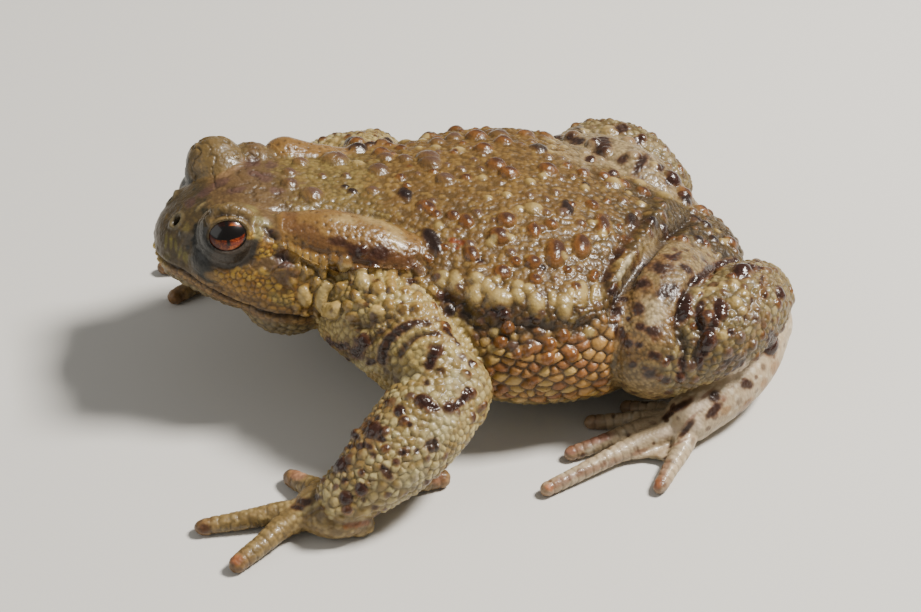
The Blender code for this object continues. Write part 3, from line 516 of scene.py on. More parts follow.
def straight_head(places):
    """The places of the turned head as they would be on the straight head."""
    arm = places - np.array(NECK)
    cosine = math.cos(HEAD_TURN)
    sine = math.sin(HEAD_TURN)
    turned = places.copy()
    turned[:, 0] = NECK.x + arm[:, 0] * cosine + arm[:, 1] * sine
    turned[:, 1] = NECK.y - arm[:, 0] * sine + arm[:, 1] * cosine
    return turned


def mirrored(point, side):
    """A point of the right side, on the side asked for."""
    return Vector((point[0], point[1] * side, point[2]))


def smooth_rows(stations, count):
    """Rows of numbers read at count even steps of their first column, by a monotone cubic."""
    table = np.array(stations, float)
    steps = table[:, 0]
    wanted = np.linspace(steps[0], steps[-1], count)
    spans = np.diff(steps)
    cell = np.clip(np.searchsorted(steps, wanted) - 1, 0, len(steps) - 2)
    t = (wanted - steps[cell]) / spans[cell]
    columns = [wanted]
    for values in table[:, 1:].T:
        slopes = np.diff(values) / spans
        tangent = np.zeros(len(steps))
        tangent[0] = slopes[0]
        tangent[-1] = slopes[-1]
        for i in range(1, len(steps) - 1):
            if slopes[i - 1] * slopes[i] > 0:
                before = 2 * spans[i] + spans[i - 1]
                after = spans[i] + 2 * spans[i - 1]
                tangent[i] = (before + after) / (before / slopes[i - 1] + after / slopes[i])
        rise = (2 * t**3 - 3 * t**2 + 1) * values[cell] + (3 * t**2 - 2 * t**3) * values[cell + 1]
        lean = (t**3 - 2 * t**2 + t) * tangent[cell] + (t**3 - t**2) * tangent[cell + 1]
        columns.append(rise + lean * spans[cell])
    return np.stack(columns, 1)


def section(x, half_width, top, underside, widest, roundness):
    """Points of one cross-section of the body."""
    points = []
    for i in range(SECTION_POINTS):
        angle = 2 * math.pi * i / SECTION_POINTS
        across = math.copysign(abs(math.cos(angle)) ** (2 / roundness), math.cos(angle))
        up = math.copysign(abs(math.sin(angle)) ** (2 / roundness), math.sin(angle))
        reach = top - widest if up > 0 else widest - underside
        points.append(Vector((x, half_width * across, widest + reach * up)))
    return points


def loft(name, rings):
    """A closed body through rings of points, each end closed by a fan."""
    shape = bmesh.new()
    rows = [[shape.verts.new(point) for point in ring] for ring in rings]
    count = len(rows[0])
    for row, following in zip(rows, rows[1:]):
        for i in range(count):
            j = (i + 1) % count
            shape.faces.new((row[i], row[j], following[j], following[i]))
    for row in (rows[0], rows[-1]):
        middle = shape.verts.new(sum((vertex.co for vertex in row), Vector()) / count)
        for i in range(count):
            shape.faces.new((row[i], row[(i + 1) % count], middle))
    bmesh.ops.recalc_face_normals(shape, faces=shape.faces)
    mesh = bpy.data.meshes.new(name)
    shape.to_mesh(mesh)
    shape.free()
    return add_mesh(name, mesh)


def ball(name, centre, radii, turn=(0, 0, 0)):
    """An ellipsoid; turn is in degrees about X, Y and Z."""
    bpy.ops.mesh.primitive_uv_sphere_add(segments=32, ring_count=18, radius=1)
    body = bpy.context.object
    body.name = name
    rotation = Euler([math.radians(angle) for angle in turn]).to_matrix().to_4x4()
    size = Matrix.Diagonal((*radii, 1))
    body.matrix_world = Matrix.Translation(Vector(centre)) @ rotation @ size
    return body


def head_ball(name, centre, radii):
    """An ellipsoid that turns with the head."""
    return ball(name, place_on_head(centre), radii, (0, 0, math.degrees(HEAD_TURN)))


def mesh_from_curve(curve_object):
    """The curve's surface as a closed mesh object. The curve is removed."""
    bpy.context.view_layer.update()
    evaluated = curve_object.evaluated_get(bpy.context.evaluated_depsgraph_get())
    mesh = bpy.data.meshes.new_from_object(evaluated)
    name = curve_object.name
    matrix = curve_object.matrix_world.copy()
    bpy.data.objects.remove(curve_object)
    shape = bmesh.new()
    shape.from_mesh(mesh)
    bmesh.ops.remove_doubles(shape, verts=shape.verts, dist=1e-3)
    bmesh.ops.recalc_face_normals(shape, faces=shape.faces)
    shape.to_mesh(mesh)
    shape.free()
    body = add_mesh(name, mesh)
    body.matrix_world = matrix
    return body


def tube(name, rows, closed=False):
    """A tube through rows of place and radius."""
    curve = bpy.data.curves.new(name, "CURVE")
    curve.dimensions = "3D"
    spline = curve.splines.new("BEZIER")
    spline.bezier_points.add(len(rows) - 1)
    for point, row in zip(spline.bezier_points, rows):
        point.co = Vector(row[:3])
        point.radius = row[3]
        point.handle_left_type = "AUTO"
        point.handle_right_type = "AUTO"
    spline.use_cyclic_u = closed
    curve.bevel_depth = 1
    curve.bevel_resolution = 6
    curve.resolution_u = 10
    curve.use_fill_caps = not closed
    route = bpy.data.objects.new(name, curve)
    bpy.context.scene.collection.objects.link(route)
    return mesh_from_curve(route)


def limb(name, rows):
    """A tube with round ends."""
    pieces = [tube(name, rows)]
    for row in (rows[0], rows[-1]):
        pieces.append(ball(name + "_end", row[:3], (row[3],) * 3))
    return pieces


def join(name, pieces):
    """One object from several, in world space. The pieces are removed."""
    shape = bmesh.new()
    for piece in pieces:
        mesh = piece.data.copy()
        mesh.transform(piece.matrix_world)
        shape.from_mesh(mesh)
        bpy.data.meshes.remove(mesh)
        bpy.data.objects.remove(piece)
    mesh = bpy.data.meshes.new(name)
    shape.to_mesh(mesh)
    shape.free()
    return add_mesh(name, mesh)


def apply_modifiers(body):
    """The body's mesh becomes what its modifiers make of it."""
    bpy.context.view_layer.update()
    evaluated = body.evaluated_get(bpy.context.evaluated_depsgraph_get())
    mesh = bpy.data.meshes.new_from_object(evaluated)
    body.modifiers.clear()
    body.data = mesh
    return body


def trunk_form():
    rows = smooth_rows(TRUNK, 80)
    return loft("trunk", [section(*row, TRUNK_ROUNDNESS) for row in rows])


def head_form():
    rings = []
    for row in smooth_rows(HEAD, 60):
        rings.append([place_on_head(point) for point in section(*row, HEAD_ROUNDNESS)])
    return loft("head", rings)


def eye_axes(side):
    """Which way an eye looks, and the up and forward directions of its lids."""
    look = mirrored(EYE_LOOK, side)
    look.rotate(Euler((0, 0, HEAD_TURN)))
    look.normalize()
    forward = Vector((-math.cos(HEAD_TURN), -math.sin(HEAD_TURN), 0))
    forward = (forward - look * forward.dot(look)).normalized()
    up = look.cross(forward)
    if up.z < 0:
        up = -up
    return look, up, forward


def eye_centre(side):
    return place_on_head(mirrored(EYE, side))


def head_masses(side):
    """What swells from one side of the head: lids, brow, cheek, ear disc, shoulder and gland."""
    centre = eye_centre(side)
    look, up, forward = eye_axes(side)
    lid = EYE_RADIUS + LID_RIM
    pieces = [
        ball("lid", centre, (lid, lid, lid)),
        head_ball("upper_lid", (-37.6, 9.2 * side, 32.6), (5.9, 5.2, 5.0)),
        head_ball("under_eye", (-38.3, 9.6 * side, 28.2), (6.6, 5.2, 5.2)),
        head_ball("brow", (-32.5, 10.5 * side, 32.0), (5.5, 4.6, 4.2)),
        head_ball("snout_ridge", (-42.6, 5.4 * side, 31.0), (3.4, 2.0, 1.4)),
        head_ball("cheek", (-29.0, 14.2 * side, 22.5), (8.0, 5.6, 6.8)),
        head_ball("ear_disc", (-30.0, 17.2 * side, 29.2), (2.2, 0.9, 2.0)),
        ball("shoulder", (-14.0, 16.5 * side, 20.0), (9.0, 8.0, 10.0)),
    ]
    pieces += limb("parotoid", PAROTOID[side])
    rim = []
    for i in range(16):
        angle = 2 * math.pi * i / 16
        along = forward * math.cos(angle) * (OPENING_LENGTH / 2 + 0.35)
        above = up * math.sin(angle) * (OPENING_HEIGHT / 2 + 0.35)
        outward = math.sqrt(max(EYE_RADIUS**2 - (along + above).length_squared, 0.5))
        point = centre + along + above + look * (outward + 0.25)
        rim.append((*point, 0.7 * LID_RIM))
    pieces.append(tube("lid_rim", rim, closed=True))
    return pieces


def digit(name, root, knuckle, tip, radius):
    """A finger or toe that lies on the floor, thick at the knuckle and blunt at the tip."""
    middle = [(knuckle[0] + tip[0]) / 2, (knuckle[1] + tip[1]) / 2]
    return limb(name, [
        (root[0], root[1], 3.0, radius * 1.5),
        (knuckle[0], knuckle[1], radius * 1.5, radius * 1.22),
        (middle[0], middle[1], radius * 1.15, radius),
        (tip[0], tip[1], radius * 0.82, radius * 0.88),
    ])


def hand_form(side):
    """A palm with its heel and four fingers."""
    palm = PALM[side]
    pieces = [ball("palm", palm, PALM_SIZE, (0, 0, 25 * side))]
    for knuckle, tip, radius in FINGERS[side]:
        pieces += digit("finger", palm, knuckle, tip, radius)
    heel = (palm[0] + 4.0, palm[1] + 1.4 * side, 1.7)
    pieces.append(ball("heel_pad", heel, (2.6, 2.6, 2.2)))
    return pieces


def web(name, root, first, second):
    """The skin between two toes: a thin sheet with a hollow edge."""
    edge = []
    for share in (0.0, 0.25, 0.5, 0.75, 1.0):
        reach = WEB_REACH * (1 - 0.9 * share * (1 - share))
        tip = Vector(first).lerp(Vector(second), share)
        edge.append(Vector(root).lerp(tip, reach))
    curve = bpy.data.curves.new(name, "CURVE")
    curve.dimensions = "2D"
    curve.fill_mode = "BOTH"
    curve.extrude = WEB_THICKNESS / 2
    spline = curve.splines.new("POLY")
    outline = [Vector(root)] + edge
    spline.points.add(len(outline) - 1)
    for point, place in zip(spline.points, outline):
        point.co = (place.x, place.y, 0, 1)
    spline.use_cyclic_u = True
    sheet = bpy.data.objects.new(name, curve)
    sheet.location.z = 1.2
    bpy.context.scene.collection.objects.link(sheet)
    return mesh_from_curve(sheet)


def foot_form(side):
    """A foot with five toes, the webs between them and the spur."""
    pieces = limb("foot", FOOT[side])
    root = FOOT[side][-1]
    for knuckle, tip in TOES[side]:
        pieces += digit("toe", root, knuckle, tip, TOE_RADIUS)
    tips = [tip for knuckle, tip in TOES[side]]
    for first, second in zip(tips, tips[1:]):
        pieces.append(web("web", root[:2], first, second))
    spur = (root[0] - 1.5, root[1] - 3.4 * side, 1.9)
    pieces.append(ball("spur", spur, (2.4, 1.7, 1.9), (0, 0, 20 * side)))
    return pieces


def smooth_skin():
    """The whole toad in one fine, smooth skin, unwrapped."""
    pieces = [trunk_form(), head_form()]
    for side in (LEFT, RIGHT):
        pieces += head_masses(side)
        pieces += limb("upper_arm", UPPER_ARM[side]) + limb("forearm", FOREARM[side])
        pieces += hand_form(side)
        pieces += limb("thigh", THIGH[side]) + limb("shank", SHANK[side])
        pieces += foot_form(side)
    body = join("toad_skin", pieces)
    wrap = body.modifiers.new("wrap", "REMESH")
    wrap.mode = "VOXEL"
    wrap.voxel_size = VOXEL
    soften = body.modifiers.new("soften", "SMOOTH")
    soften.factor = 0.5
    soften.iterations = SMOOTHING
    apply_modifiers(body)
    keep_largest(body)
    unwrap(body)
    return body


def keep_largest(body):
    """Only the largest closed surface of the body stays."""
    shape = bmesh.new()
    shape.from_mesh(body.data)
    unseen = set(shape.verts)
    islands = []
    while unseen:
        start = unseen.pop()
        island = {start}
        front = [start]
        while front:
            for edge in front.pop().link_edges:
                for vertex in edge.verts:
                    if vertex in unseen:
                        unseen.discard(vertex)
                        island.add(vertex)
                        front.append(vertex)
        islands.append(island)
    largest = max(islands, key=len)
    loose = [vertex for vertex in shape.verts if vertex not in largest]
    bmesh.ops.delete(shape, geom=loose, context="VERTS")
    shape.to_mesh(body.data)
    shape.free()


def unwrap(body):
    """Flat patches of the smooth form, in a map that every later step keeps."""
    bpy.ops.object.select_all(action="DESELECT")
    body.select_set(True)
    bpy.context.view_layer.objects.active = body
    body.data.uv_layers.new(name="OFBake")
    bpy.ops.object.mode_set(mode="EDIT")
    bpy.ops.mesh.select_all(action="SELECT")
    bpy.ops.uv.smart_project(angle_limit=math.radians(66), island_margin=0.002)
    bpy.ops.object.mode_set(mode="OBJECT")


class View:
    """The photo's camera, for placing what the photo shows."""

    def __init__(self):
        a = CAMERA_AZIMUTH
        e = CAMERA_HEIGHT
        self.back = Vector((math.sin(a) * math.cos(e), -math.cos(a) * math.cos(e), math.sin(e)))
        self.place = CAMERA_TARGET + self.back * CAMERA_DISTANCE
        self.right = Vector((math.cos(a), math.sin(a), 0))
        self.up = self.back.cross(self.right)
        self.reach = PICTURE[0] * LENS / SENSOR

    def ray(self, x, y):
        """The direction in which the camera sees a pixel."""
        aside = self.right * (x - PICTURE[0] / 2)
        above = self.up * (PICTURE[1] / 2 - y)
        return (aside + above - self.back * self.reach).normalized()

    def pixels(self, places):
        """Where the picture shows the places."""
        offset = places - np.array(self.place)
        depth = -(offset @ np.array(self.back))
        x = PICTURE[0] / 2 + self.reach * (offset @ np.array(self.right)) / depth
        y = PICTURE[1] / 2 - self.reach * (offset @ np.array(self.up)) / depth
        return np.stack([x, y], 1)


class Skin:
    """The points of the smooth skin, and what is gathered on them: height, colour, painted shading and gloss.
    """

    def __init__(self, body, view):
        self.view = view
        mesh = body.data
        count = len(mesh.vertices)
        self.places = np.zeros(count * 3, np.float32)
        self.normals = np.zeros(count * 3, np.float32)
        mesh.vertices.foreach_get("co", self.places)
        mesh.vertices.foreach_get("normal", self.normals)
        self.places = self.places.reshape(-1, 3).astype(float)
        self.normals = self.normals.reshape(-1, 3).astype(float)
        self.count = count
        self.rise = np.zeros(count)
        self.bend = np.zeros(count)
        self.cover = np.zeros(count)
        self.colour = np.zeros((count, 3))
        self.gloss = np.full(count, 0.35)
        # Painted light and shade, which the colour is multiplied by at the end
        self.shade = np.ones(count)
        self.tree = tree_of(self.places)
        self.surface = BVHTree.FromObject(body, bpy.context.evaluated_depsgraph_get())
        self.pixels = view.pixels(self.places)
        self.front = self.normals @ np.array(view.back) > 0
        self.ragged = rough_noise(self.places, 1.6, 51)

    def seen(self, x, y):
        """The place and normal on the skin under a pixel, or None where the ray misses."""
        return self.surface.ray_cast(self.view.place, self.view.ray(x, y))[:2]

    def route(self, pixels):
        """The places on the skin under a row of pixels."""
        places = [self.seen(x, y)[0] for x, y in pixels]
        return np.array([place for place in places if place is not None])

    def other_side(self, route):
        """The mirror of a route, laid on the skin of the other side."""
        return np.array([self.surface.find_nearest(mirrored(place, -1))[0] for place in route])

    def near(self, place, reach):
        """The points near a place, and their offsets from it."""
        found = self.tree.find_range(place, reach)
        index = np.fromiter((hit[1] for hit in found), int, len(found))
        return index, self.places[index] - np.array(place)

    def along(self, route, reach):
        """The points within reach of a route, their distance to it, and how far along it they lie."""
        low = route.min(axis=0) - reach
        high = route.max(axis=0) + reach
        inside = np.flatnonzero(((self.places > low) & (self.places < high)).all(axis=1))
        best = np.full(len(inside), np.inf)
        share = np.zeros(len(inside))
        here = self.places[inside]
        for k, (start, end) in enumerate(zip(route, route[1:])):
            arrow = end - start
            t = np.clip((here - start) @ arrow / max(arrow @ arrow, 1e-9), 0, 1)
            away = np.linalg.norm(here - start - t[:, None] * arrow, axis=1)
            nearer = away < best
            best[nearer] = away[nearer]
            share[nearer] = (k + t[nearer]) / (len(route) - 1)
        close = best < reach
        return inside[close], best[close], share[close]

    def oval(self, x, y, half_length, half_width, lean=0):
        """The points round a pixel and how far out each lies, 1 being the edge of an oval in the picture."""
        place = self.seen(x, y)[0]
        if place is None:
            return np.zeros(0, int), np.zeros(0)
        reach = max(half_length, half_width) * 1.3 / PIXELS_PER_MM
        index, offset = self.near(place, reach * 1.8)
        index = index[self.front[index]]
        return index, self.oval_share(index, x, y, half_length, half_width, lean)

    def oval_share(self, index, x, y, half_length, half_width, lean=0):
        """How far out from a pixel the points lie, 1 being the edge of the oval."""
        away = self.pixels[index] - np.array((x, y))
        angle = math.radians(lean)
        along = away @ np.array((math.cos(angle), math.sin(angle)))
        aside = away @ np.array((-math.sin(angle), math.cos(angle)))
        return np.hypot(along / half_length, aside / half_width)

    def tint(self, index, strength, colour):
        """Mixes a colour into the skin's own."""
        strength = np.clip(strength, 0, 1)[:, None]
        self.colour[index] += (colour - self.colour[index]) * strength


def noise(places, size, seed):
    """Smooth noise from -1 to 1 with lumps of about the given size."""
    table = np.random.default_rng(seed).random(4096) * 2 - 1
    scaled = places / size
    cell = np.floor(scaled).astype(np.int64)
    t = scaled - cell
    t = t * t * (3 - 2 * t)
    total = np.zeros(len(places))
    for corner in range(8):
        bits = np.array([corner & 1, corner >> 1 & 1, corner >> 2 & 1])
        x, y, z = (cell + bits).T
        key = (x * 73856093 ^ y * 19349663 ^ z * 83492791) & 4095
        weight = np.prod(np.where(bits, t, 1 - t), axis=1)
        total += weight * table[key]
    return total


def rough_noise(places, size, seed):
    """Noise with two finer layers on it."""
    return (
        noise(places, size, seed)
        + 0.5 * noise(places, size / 2.1, seed + 1)
        + 0.25 * noise(places, size / 4.3, seed + 2)
    ) / 1.75


def capsule_distance(places, rows):
    """How far outside a tube of rows of place and radius the places are, and how far along it."""
    best = np.full(len(places), np.inf)
    share = np.zeros(len(places))
    table = np.array(rows, float)
    for k, (start, end) in enumerate(zip(table, table[1:])):
        arrow = end[:3] - start[:3]
        t = np.clip((places - start[:3]) @ arrow / (arrow @ arrow), 0, 1)
        radius = start[3] + (end[3] - start[3]) * t
        away = np.linalg.norm(places - start[:3] - t[:, None] * arrow, axis=1) - radius
        nearer = away < best
        best[nearer] = away[nearer]
        share[nearer] = (k + t[nearer]) / (len(table) - 1)
    return best, share


def digit_rows(root, knuckle, tip, radius):
    return [(*root[:2], 3.0, radius * 1.5), (*knuckle, radius * 1.5, radius * 1.2), (*tip, radius, radius)]


def nearest_tube(places, tubes):
    """How far outside the nearest of several tubes the places are."""
    return np.min([capsule_distance(places, rows)[0] for rows in tubes], axis=0)


def limb_masks(places, side):
    """For each part of one side's limbs, where it is the skin."""
    parts = {
        "upper_arm": UPPER_ARM[side],
        "forearm": FOREARM[side],
        "thigh": THIGH[side],
        "shank": SHANK[side],
        "foot": FOOT[side],
    }
    masks = {name: 1 - step(nearest_tube(places, [rows]), 0.3, 1.8) for name, rows in parts.items()}
    palm = PALM[side]
    fingers = nearest_tube(places, [digit_rows(palm, *finger) for finger in FINGERS[side]])
    palm_away = np.linalg.norm((places - np.array(palm)) / np.array(PALM_SIZE), axis=1) * 4.5 - 4.5
    masks["hand"] = 1 - step(np.minimum(fingers, palm_away), 0.2, 1.4)
    toes = nearest_tube(places, [digit_rows(FOOT[side][-1], *toe, TOE_RADIUS) for toe in TOES[side]])
    masks["toes"] = 1 - step(toes, 0.6, 2.4)
    return masks


def region_weights(skin):
    """How much each point belongs to each region of the skin, by painting one over another."""
    places = skin.places
    normals = skin.normals
    names = list(REGIONS)
    weights = {name: np.zeros(skin.count, np.float32) for name in names}
    weights["back"][:] = 1

    def lay(name, mask):
        for other in names:
            weights[other] *= 1 - mask
        weights[name] += mask

    wobble = noise(places, 6.0, 31) * 1.6
    x = places[:, 0] + wobble
    z = places[:, 2] + wobble
    facing_up = normals[:, 2]
    lay("rump", step(x, 18, 40))
    lay("upper_flank", step(-facing_up, -0.93, -0.70) * (1 - step(x, 33, 40)))
    lay("lower_flank", (1 - step(z, 20.5, 23.5)) * (1 - step(x, 33, 40)))
    lay("belly", np.maximum(step(-facing_up, 0.45, 0.8), 1 - step(places[:, 2], 1.0, 2.0)))

    head = straight_head(places)
    hx = head[:, 0]
    side_out = np.abs(head[:, 1])
    hz = head[:, 2]
    on_head = step(-hx - wobble, 8, 16)
    lay("nape", on_head * step(facing_up, 0.35, 0.6))
    lay("jaw_corner", on_head * (1 - step(facing_up, 0.35, 0.6)) * step(facing_up, -0.5, -0.2))
    lay("throat", on_head * step(-facing_up, 0.25, 0.5))
    lay("crown", step(-hx - 2 * wobble, 23, 31) * step(facing_up, 0.35, 0.6))
    mouth_x = np.array([x for x, z in MOUTH])
    mouth_z = np.array([z for x, z in MOUTH])
    mouth = np.interp(hx, mouth_x, mouth_z)
    forward = step(-hx, 23, 27)
    lay("cheek", forward * step(hz, mouth - 0.5, mouth + 0.5) * (1 - step(facing_up, 0.35, 0.6)))
    lay("lip", forward * (1 - step(np.abs(hz - mouth), 1.4, 2.4)) * step(side_out, 2, 8))
    lay("throat", forward * (1 - step(hz, mouth - 2.2, mouth - 1.2)))
    # The lore's near-black colour is painted shadow
    lay("shadowed_lore", step(-hx, 39.5, 42.5) * step(hz, mouth + 1.0, mouth + 2.2) * (1 - step(hx, -40.5, -38.0)))
    lay("snout", step(-hx - wobble, 42.0, 46.5) * step(hz, mouth - 0.5, mouth + 0.7))
    lay("snout", step(-hx - wobble, 38, 43) * step(facing_up, 0.45, 0.7))
    for side in (LEFT, RIGHT):
        centre = np.array(eye_centre(side))
        look, up, ahead = (np.array(axis) for axis in eye_axes(side))
        offset = places - centre
        away = np.linalg.norm(offset, axis=1)
        above = offset @ up
        out = offset @ look
        lay("under_lid", (1 - step(away, 5.6, 6.3)) * step(-above, 0.3, 1.2) * step(out, -0.5, 1.0))
        lay("lid", (1 - step(away, 5.9, 6.8)) * step(above, -0.3, 0.8))
        before = step(offset @ ahead, 2.6, 4.2) * (1 - step(above, 1.2, 2.6))
        # The lore's painted shadow also reaches in front of each eye
        lay("shadowed_lore", (1 - step(away, 6.2, 7.2)) * before)
        ear = np.array(place_on_head((-30.0, 17.6 * side, 29.2)))
        ear_away = np.linalg.norm((places - ear) / np.array((1.15, 1.3, 1)), axis=1) + 0.5 * skin.ragged
        lay("ear", 0.75 * (1 - step(ear_away, 1.0, 2.2)))
        lay("gland", 1 - step(capsule_distance(places, PAROTOID[side])[0], 0.25, 0.9))
    for side in (LEFT, RIGHT):
        masks = limb_masks(places, side)
        for name in ("upper_arm", "thigh", "shank", "foot", "forearm", "hand"):
            lay(name, masks[name])
        lay("foot", masks["toes"])
    return weights


def blend_regions(skin, weights):
    """Fields of base colour and of grain size, height and cover."""
    fields = np.zeros((3, skin.count))
    for name, region in REGIONS.items():
        share = weights[name]
        skin.colour += share[:, None] * linear(region[0])
        fields += share * np.array(region[1:4])[:, None]
    return fields


def tints_of(name, dice):
    """Tints of a region, picked by numbers from 0 to 1."""
    palette = np.array([linear(code) for code in REGIONS[name][4]])
    return palette[(np.clip(dice, 0, 0.999) * len(palette)).astype(int)]


def pick_tints(skin, weights, draw):
    """A tint for a grain at every point, drawn from the region it lies in."""
    names = list(REGIONS)
    running = np.cumsum(np.stack([weights[name] for name in names]), axis=0)
    chosen = (running < draw.random(skin.count) * running[-1]).sum(axis=0)
    chosen = np.minimum(chosen, len(names) - 1)
    tints = np.zeros((skin.count, 3))
    patches = 0.5 + 0.6 * noise(skin.places, 2.6, 41) + draw.uniform(-0.25, 0.25, skin.count)
    for index, name in enumerate(names):
        here = chosen == index
        tints[here] = tints_of(name, patches[here])
    return tints


def grains(skin, weights, fields):
    """Round grains over the whole skin, each clear of the ones before it."""
    draw = np.random.default_rng(SEEDS["grains"])
    tints = pick_tints(skin, weights, draw)
    radius_field, height_field, cover_field = fields
    sizes = radius_field * draw.uniform(0.7, 1.35, skin.count)
    paved = sum(weights[name] for name in PAVED)
    keep = draw.random(skin.count) < cover_field * (1 - paved)
    lift = draw.uniform(0.75, 1.2, skin.count)
    free = np.ones(skin.count, bool)
    for point in draw.permutation(skin.count):
        if not free[point]:
            continue
        radius = sizes[point]
        index, offset = skin.near(skin.places[point], radius * 1.3)
        same_face = skin.normals[index] @ skin.normals[point] > 0.2
        index = index[same_face]
        away = np.linalg.norm(offset[same_face], axis=1) / radius
        free[index[away < 1.3]] = False
        away = np.maximum(away + 0.16 * skin.ragged[index], 0)
        if not keep[point]:
            continue
        inside = away < 1
        index = index[inside]
        shape = (1 - away[inside] ** 2) ** 0.7
        skin.rise[index] = np.maximum(skin.rise[index], shape * radius * height_field[point] * lift[point])
        skin.cover[index] = np.maximum(skin.cover[index], shape)
        skin.tint(index, shape * 0.8, tints[point])


def tree_of(places):
    """A tree that finds the nearest of the places."""
    tree = KDTree(len(places))
    for index, place in enumerate(places):
        tree.insert(place, index)
    tree.balance()
    return tree


def pave(skin, name, weight, seed):
    """Swollen cells with thin gaps between them, where the region lies."""
    draw = np.random.default_rng(seed)
    radius, height = REGIONS[name][1:3]
    chosen = np.flatnonzero(weight > 0.04)
    places = skin.places[chosen] / np.array(PAVED[name])
    tree = tree_of(places)
    spacing = radius * draw.uniform(0.85, 1.9, len(chosen))
    free = np.ones(len(chosen), bool)
    centres = []
    for point in draw.permutation(len(chosen)):
        if free[point]:
            centres.append(point)
            free[[hit[1] for hit in tree.find_range(places[point], spacing[point])]] = False
    cells = tree_of(places[centres])
    own = np.zeros(len(chosen), int)
    share = np.zeros(len(chosen))
    for point, place in enumerate(places):
        first, second = cells.find_n(place, 2)
        own[point] = first[1]
        share[point] = 2 * first[2] / (first[2] + second[2])
    share = np.clip(share + 0.06 * skin.ragged[chosen], 0, 1)
    swell = (1 - share**2) ** 0.75
    here = weight[chosen]
    lift = draw.uniform(0.7, 1.25, len(centres))[own]
    skin.rise[chosen] = np.maximum(skin.rise[chosen], swell * lift * here * radius * height)
    whole = 1 - step(share, 0.75, 1.0)
    skin.cover[chosen] = np.maximum(skin.cover[chosen], whole * here)
    patches = 0.5 + 0.6 * noise(skin.places[chosen[centres]], 3.0, seed + 1)
    shades = tints_of(name, patches + draw.uniform(-0.3, 0.3, len(centres)))[own]
    skin.tint(chosen, 0.85 * here * whole, shades)
    # Painted highlight on each cell's top and painted shade at its edges
    skin.shade[chosen] *= 1 + here * (0.34 * swell - 0.20)


def pavement(skin, weights):
    """The swollen cells of every paved region."""
    for number, name in enumerate(PAVED):
        pave(skin, name, weights[name], SEEDS["pavement"] + 10 * number)


def raise_wart(skin, place, normal, radius, kind):
    """A round, glossy dome with a darker or paler top."""
    index, offset = skin.near(place, radius * 1.15)
    facing = skin.normals[index] @ np.array(normal) > 0.1
    aside = np.array(skin.view.right + skin.view.up) * TOP_SHIFT * radius
    away = np.linalg.norm(offset[facing], axis=1) / radius
    from_top = np.linalg.norm(offset[facing] - aside, axis=1) / radius
    dome(skin, index[facing], away, from_top, radius, kind)


def dome(skin, index, away, from_top, radius, kind):
    """Raises and tints a wart: away is 1 at its edge, from_top is measured from its dark part."""
    height, side, top, top_width = WART_KINDS[kind]
    away = away + 0.12 * skin.ragged[index]
    inside = away < 1
    index = index[inside]
    away = np.clip(away[inside], 0, 1)
    shape = (1 - away**2) ** 0.8
    skin.rise[index] = np.maximum(skin.rise[index], height * radius * shape)
    skin.cover[index] = np.maximum(skin.cover[index], np.minimum(shape * 1.6, 1))
    skin.tint(index, np.minimum(shape * 1.25, 0.85), linear(side))
    on_top = 1 - step(from_top[inside] + 0.25 * skin.ragged[index], top_width - 0.2, top_width + 0.2)
    skin.tint(index, on_top * 0.85, linear(top))
    skin.gloss[index] = np.maximum(skin.gloss[index], 0.45 + 0.35 * shape)


def placed_warts(skin):
    """The warts that the photo shows, round ones first."""
    for kind, warts in WARTS_PX.items():
        for x, y, radius in warts:
            place, normal = skin.seen(x, y)
            if place is not None:
                raise_wart(skin, place, normal, radius * 1.06, kind)
    for kind, warts in LONG_WARTS_PX.items():
        for x, y, half_length, half_width, lean in warts:
            index, away = skin.oval(x, y, half_length, half_width, lean)
            shift = TOP_SHIFT * half_width
            from_top = skin.oval_share(index, x + shift, y - shift, half_length, half_width, lean)
            dome(skin, index, away, from_top, half_width / PIXELS_PER_MM, kind)


def swelling(skin, index, away, height, look, code):
    """A swollen, shining grain, away being 1 at its edge."""
    power, cover, firmness, limit = look
    inside = away < 1
    index = index[inside]
    shape = (1 - away[inside] ** 2) ** power
    skin.rise[index] = np.maximum(skin.rise[index], height[inside] * shape)
    skin.cover[index] = np.maximum(skin.cover[index], np.minimum(shape * cover, 1))
    skin.tint(index, np.minimum(shape * firmness, limit), linear(code))
    skin.gloss[index] = 0.8


def tubercles(skin):
    """Swollen, cream-coloured grains behind the mouth, the last one long and curved."""
    for code, marks in TUBERCLES_PX.items():
        for mark in marks:
            index, away = skin.oval(*mark)
            height = np.full(len(index), 0.8 * mark[3] / PIXELS_PER_MM)
            swelling(skin, index, away, height, TUBERCLE_SWELL, code)
    thin, thick = CURVED_TUBERCLE_RADIUS
    index, away, share = skin.along(skin.route(CURVED_TUBERCLE_PX), thick * 1.5)
    radius = thin + (thick - thin) * share
    away = away / radius
    skin.rise[index] *= step(away, 0.9, 1.3)
    skin.tint(index, 0.5 * (1 - step(away, 1.1, 1.4)), linear("#5a4626"))
    swelling(skin, index, away, 0.85 * radius, CURVED_TUBERCLE_SWELL, "#b09a66")


def dark_mark(skin, index, edge, fringe, mark):
    """A dark mark in a brown fringe, each fading out between two values of edge."""
    skin.tint(index, (1 - step(edge, *fringe)) * 0.5, linear(FRINGE_TINT))
    dark = 1 - step(edge, *mark)
    skin.tint(index, dark * 0.9, linear(MARK_TINT))
    skin.gloss[index] += 0.3 * dark


def spots(skin):
    """Dark marks with ragged edges and a brown fringe."""
    for mark in SPOTS_PX:
        index, away = skin.oval(*mark)
        dark_mark(skin, index, away + 0.6 * skin.ragged[index], (0.8, 1.6), (0.6, 1.25))


def bands(skin):
    """Dark bands with a brown fringe, along their routes."""
    for pixels, width in BANDS_PX:
        index, away = skin.along(skin.route(pixels), width * 2.5)[:2]
        dark_mark(skin, index, away / width + 0.5 * skin.ragged[index], (0.9, 1.9), (0.7, 1.2))


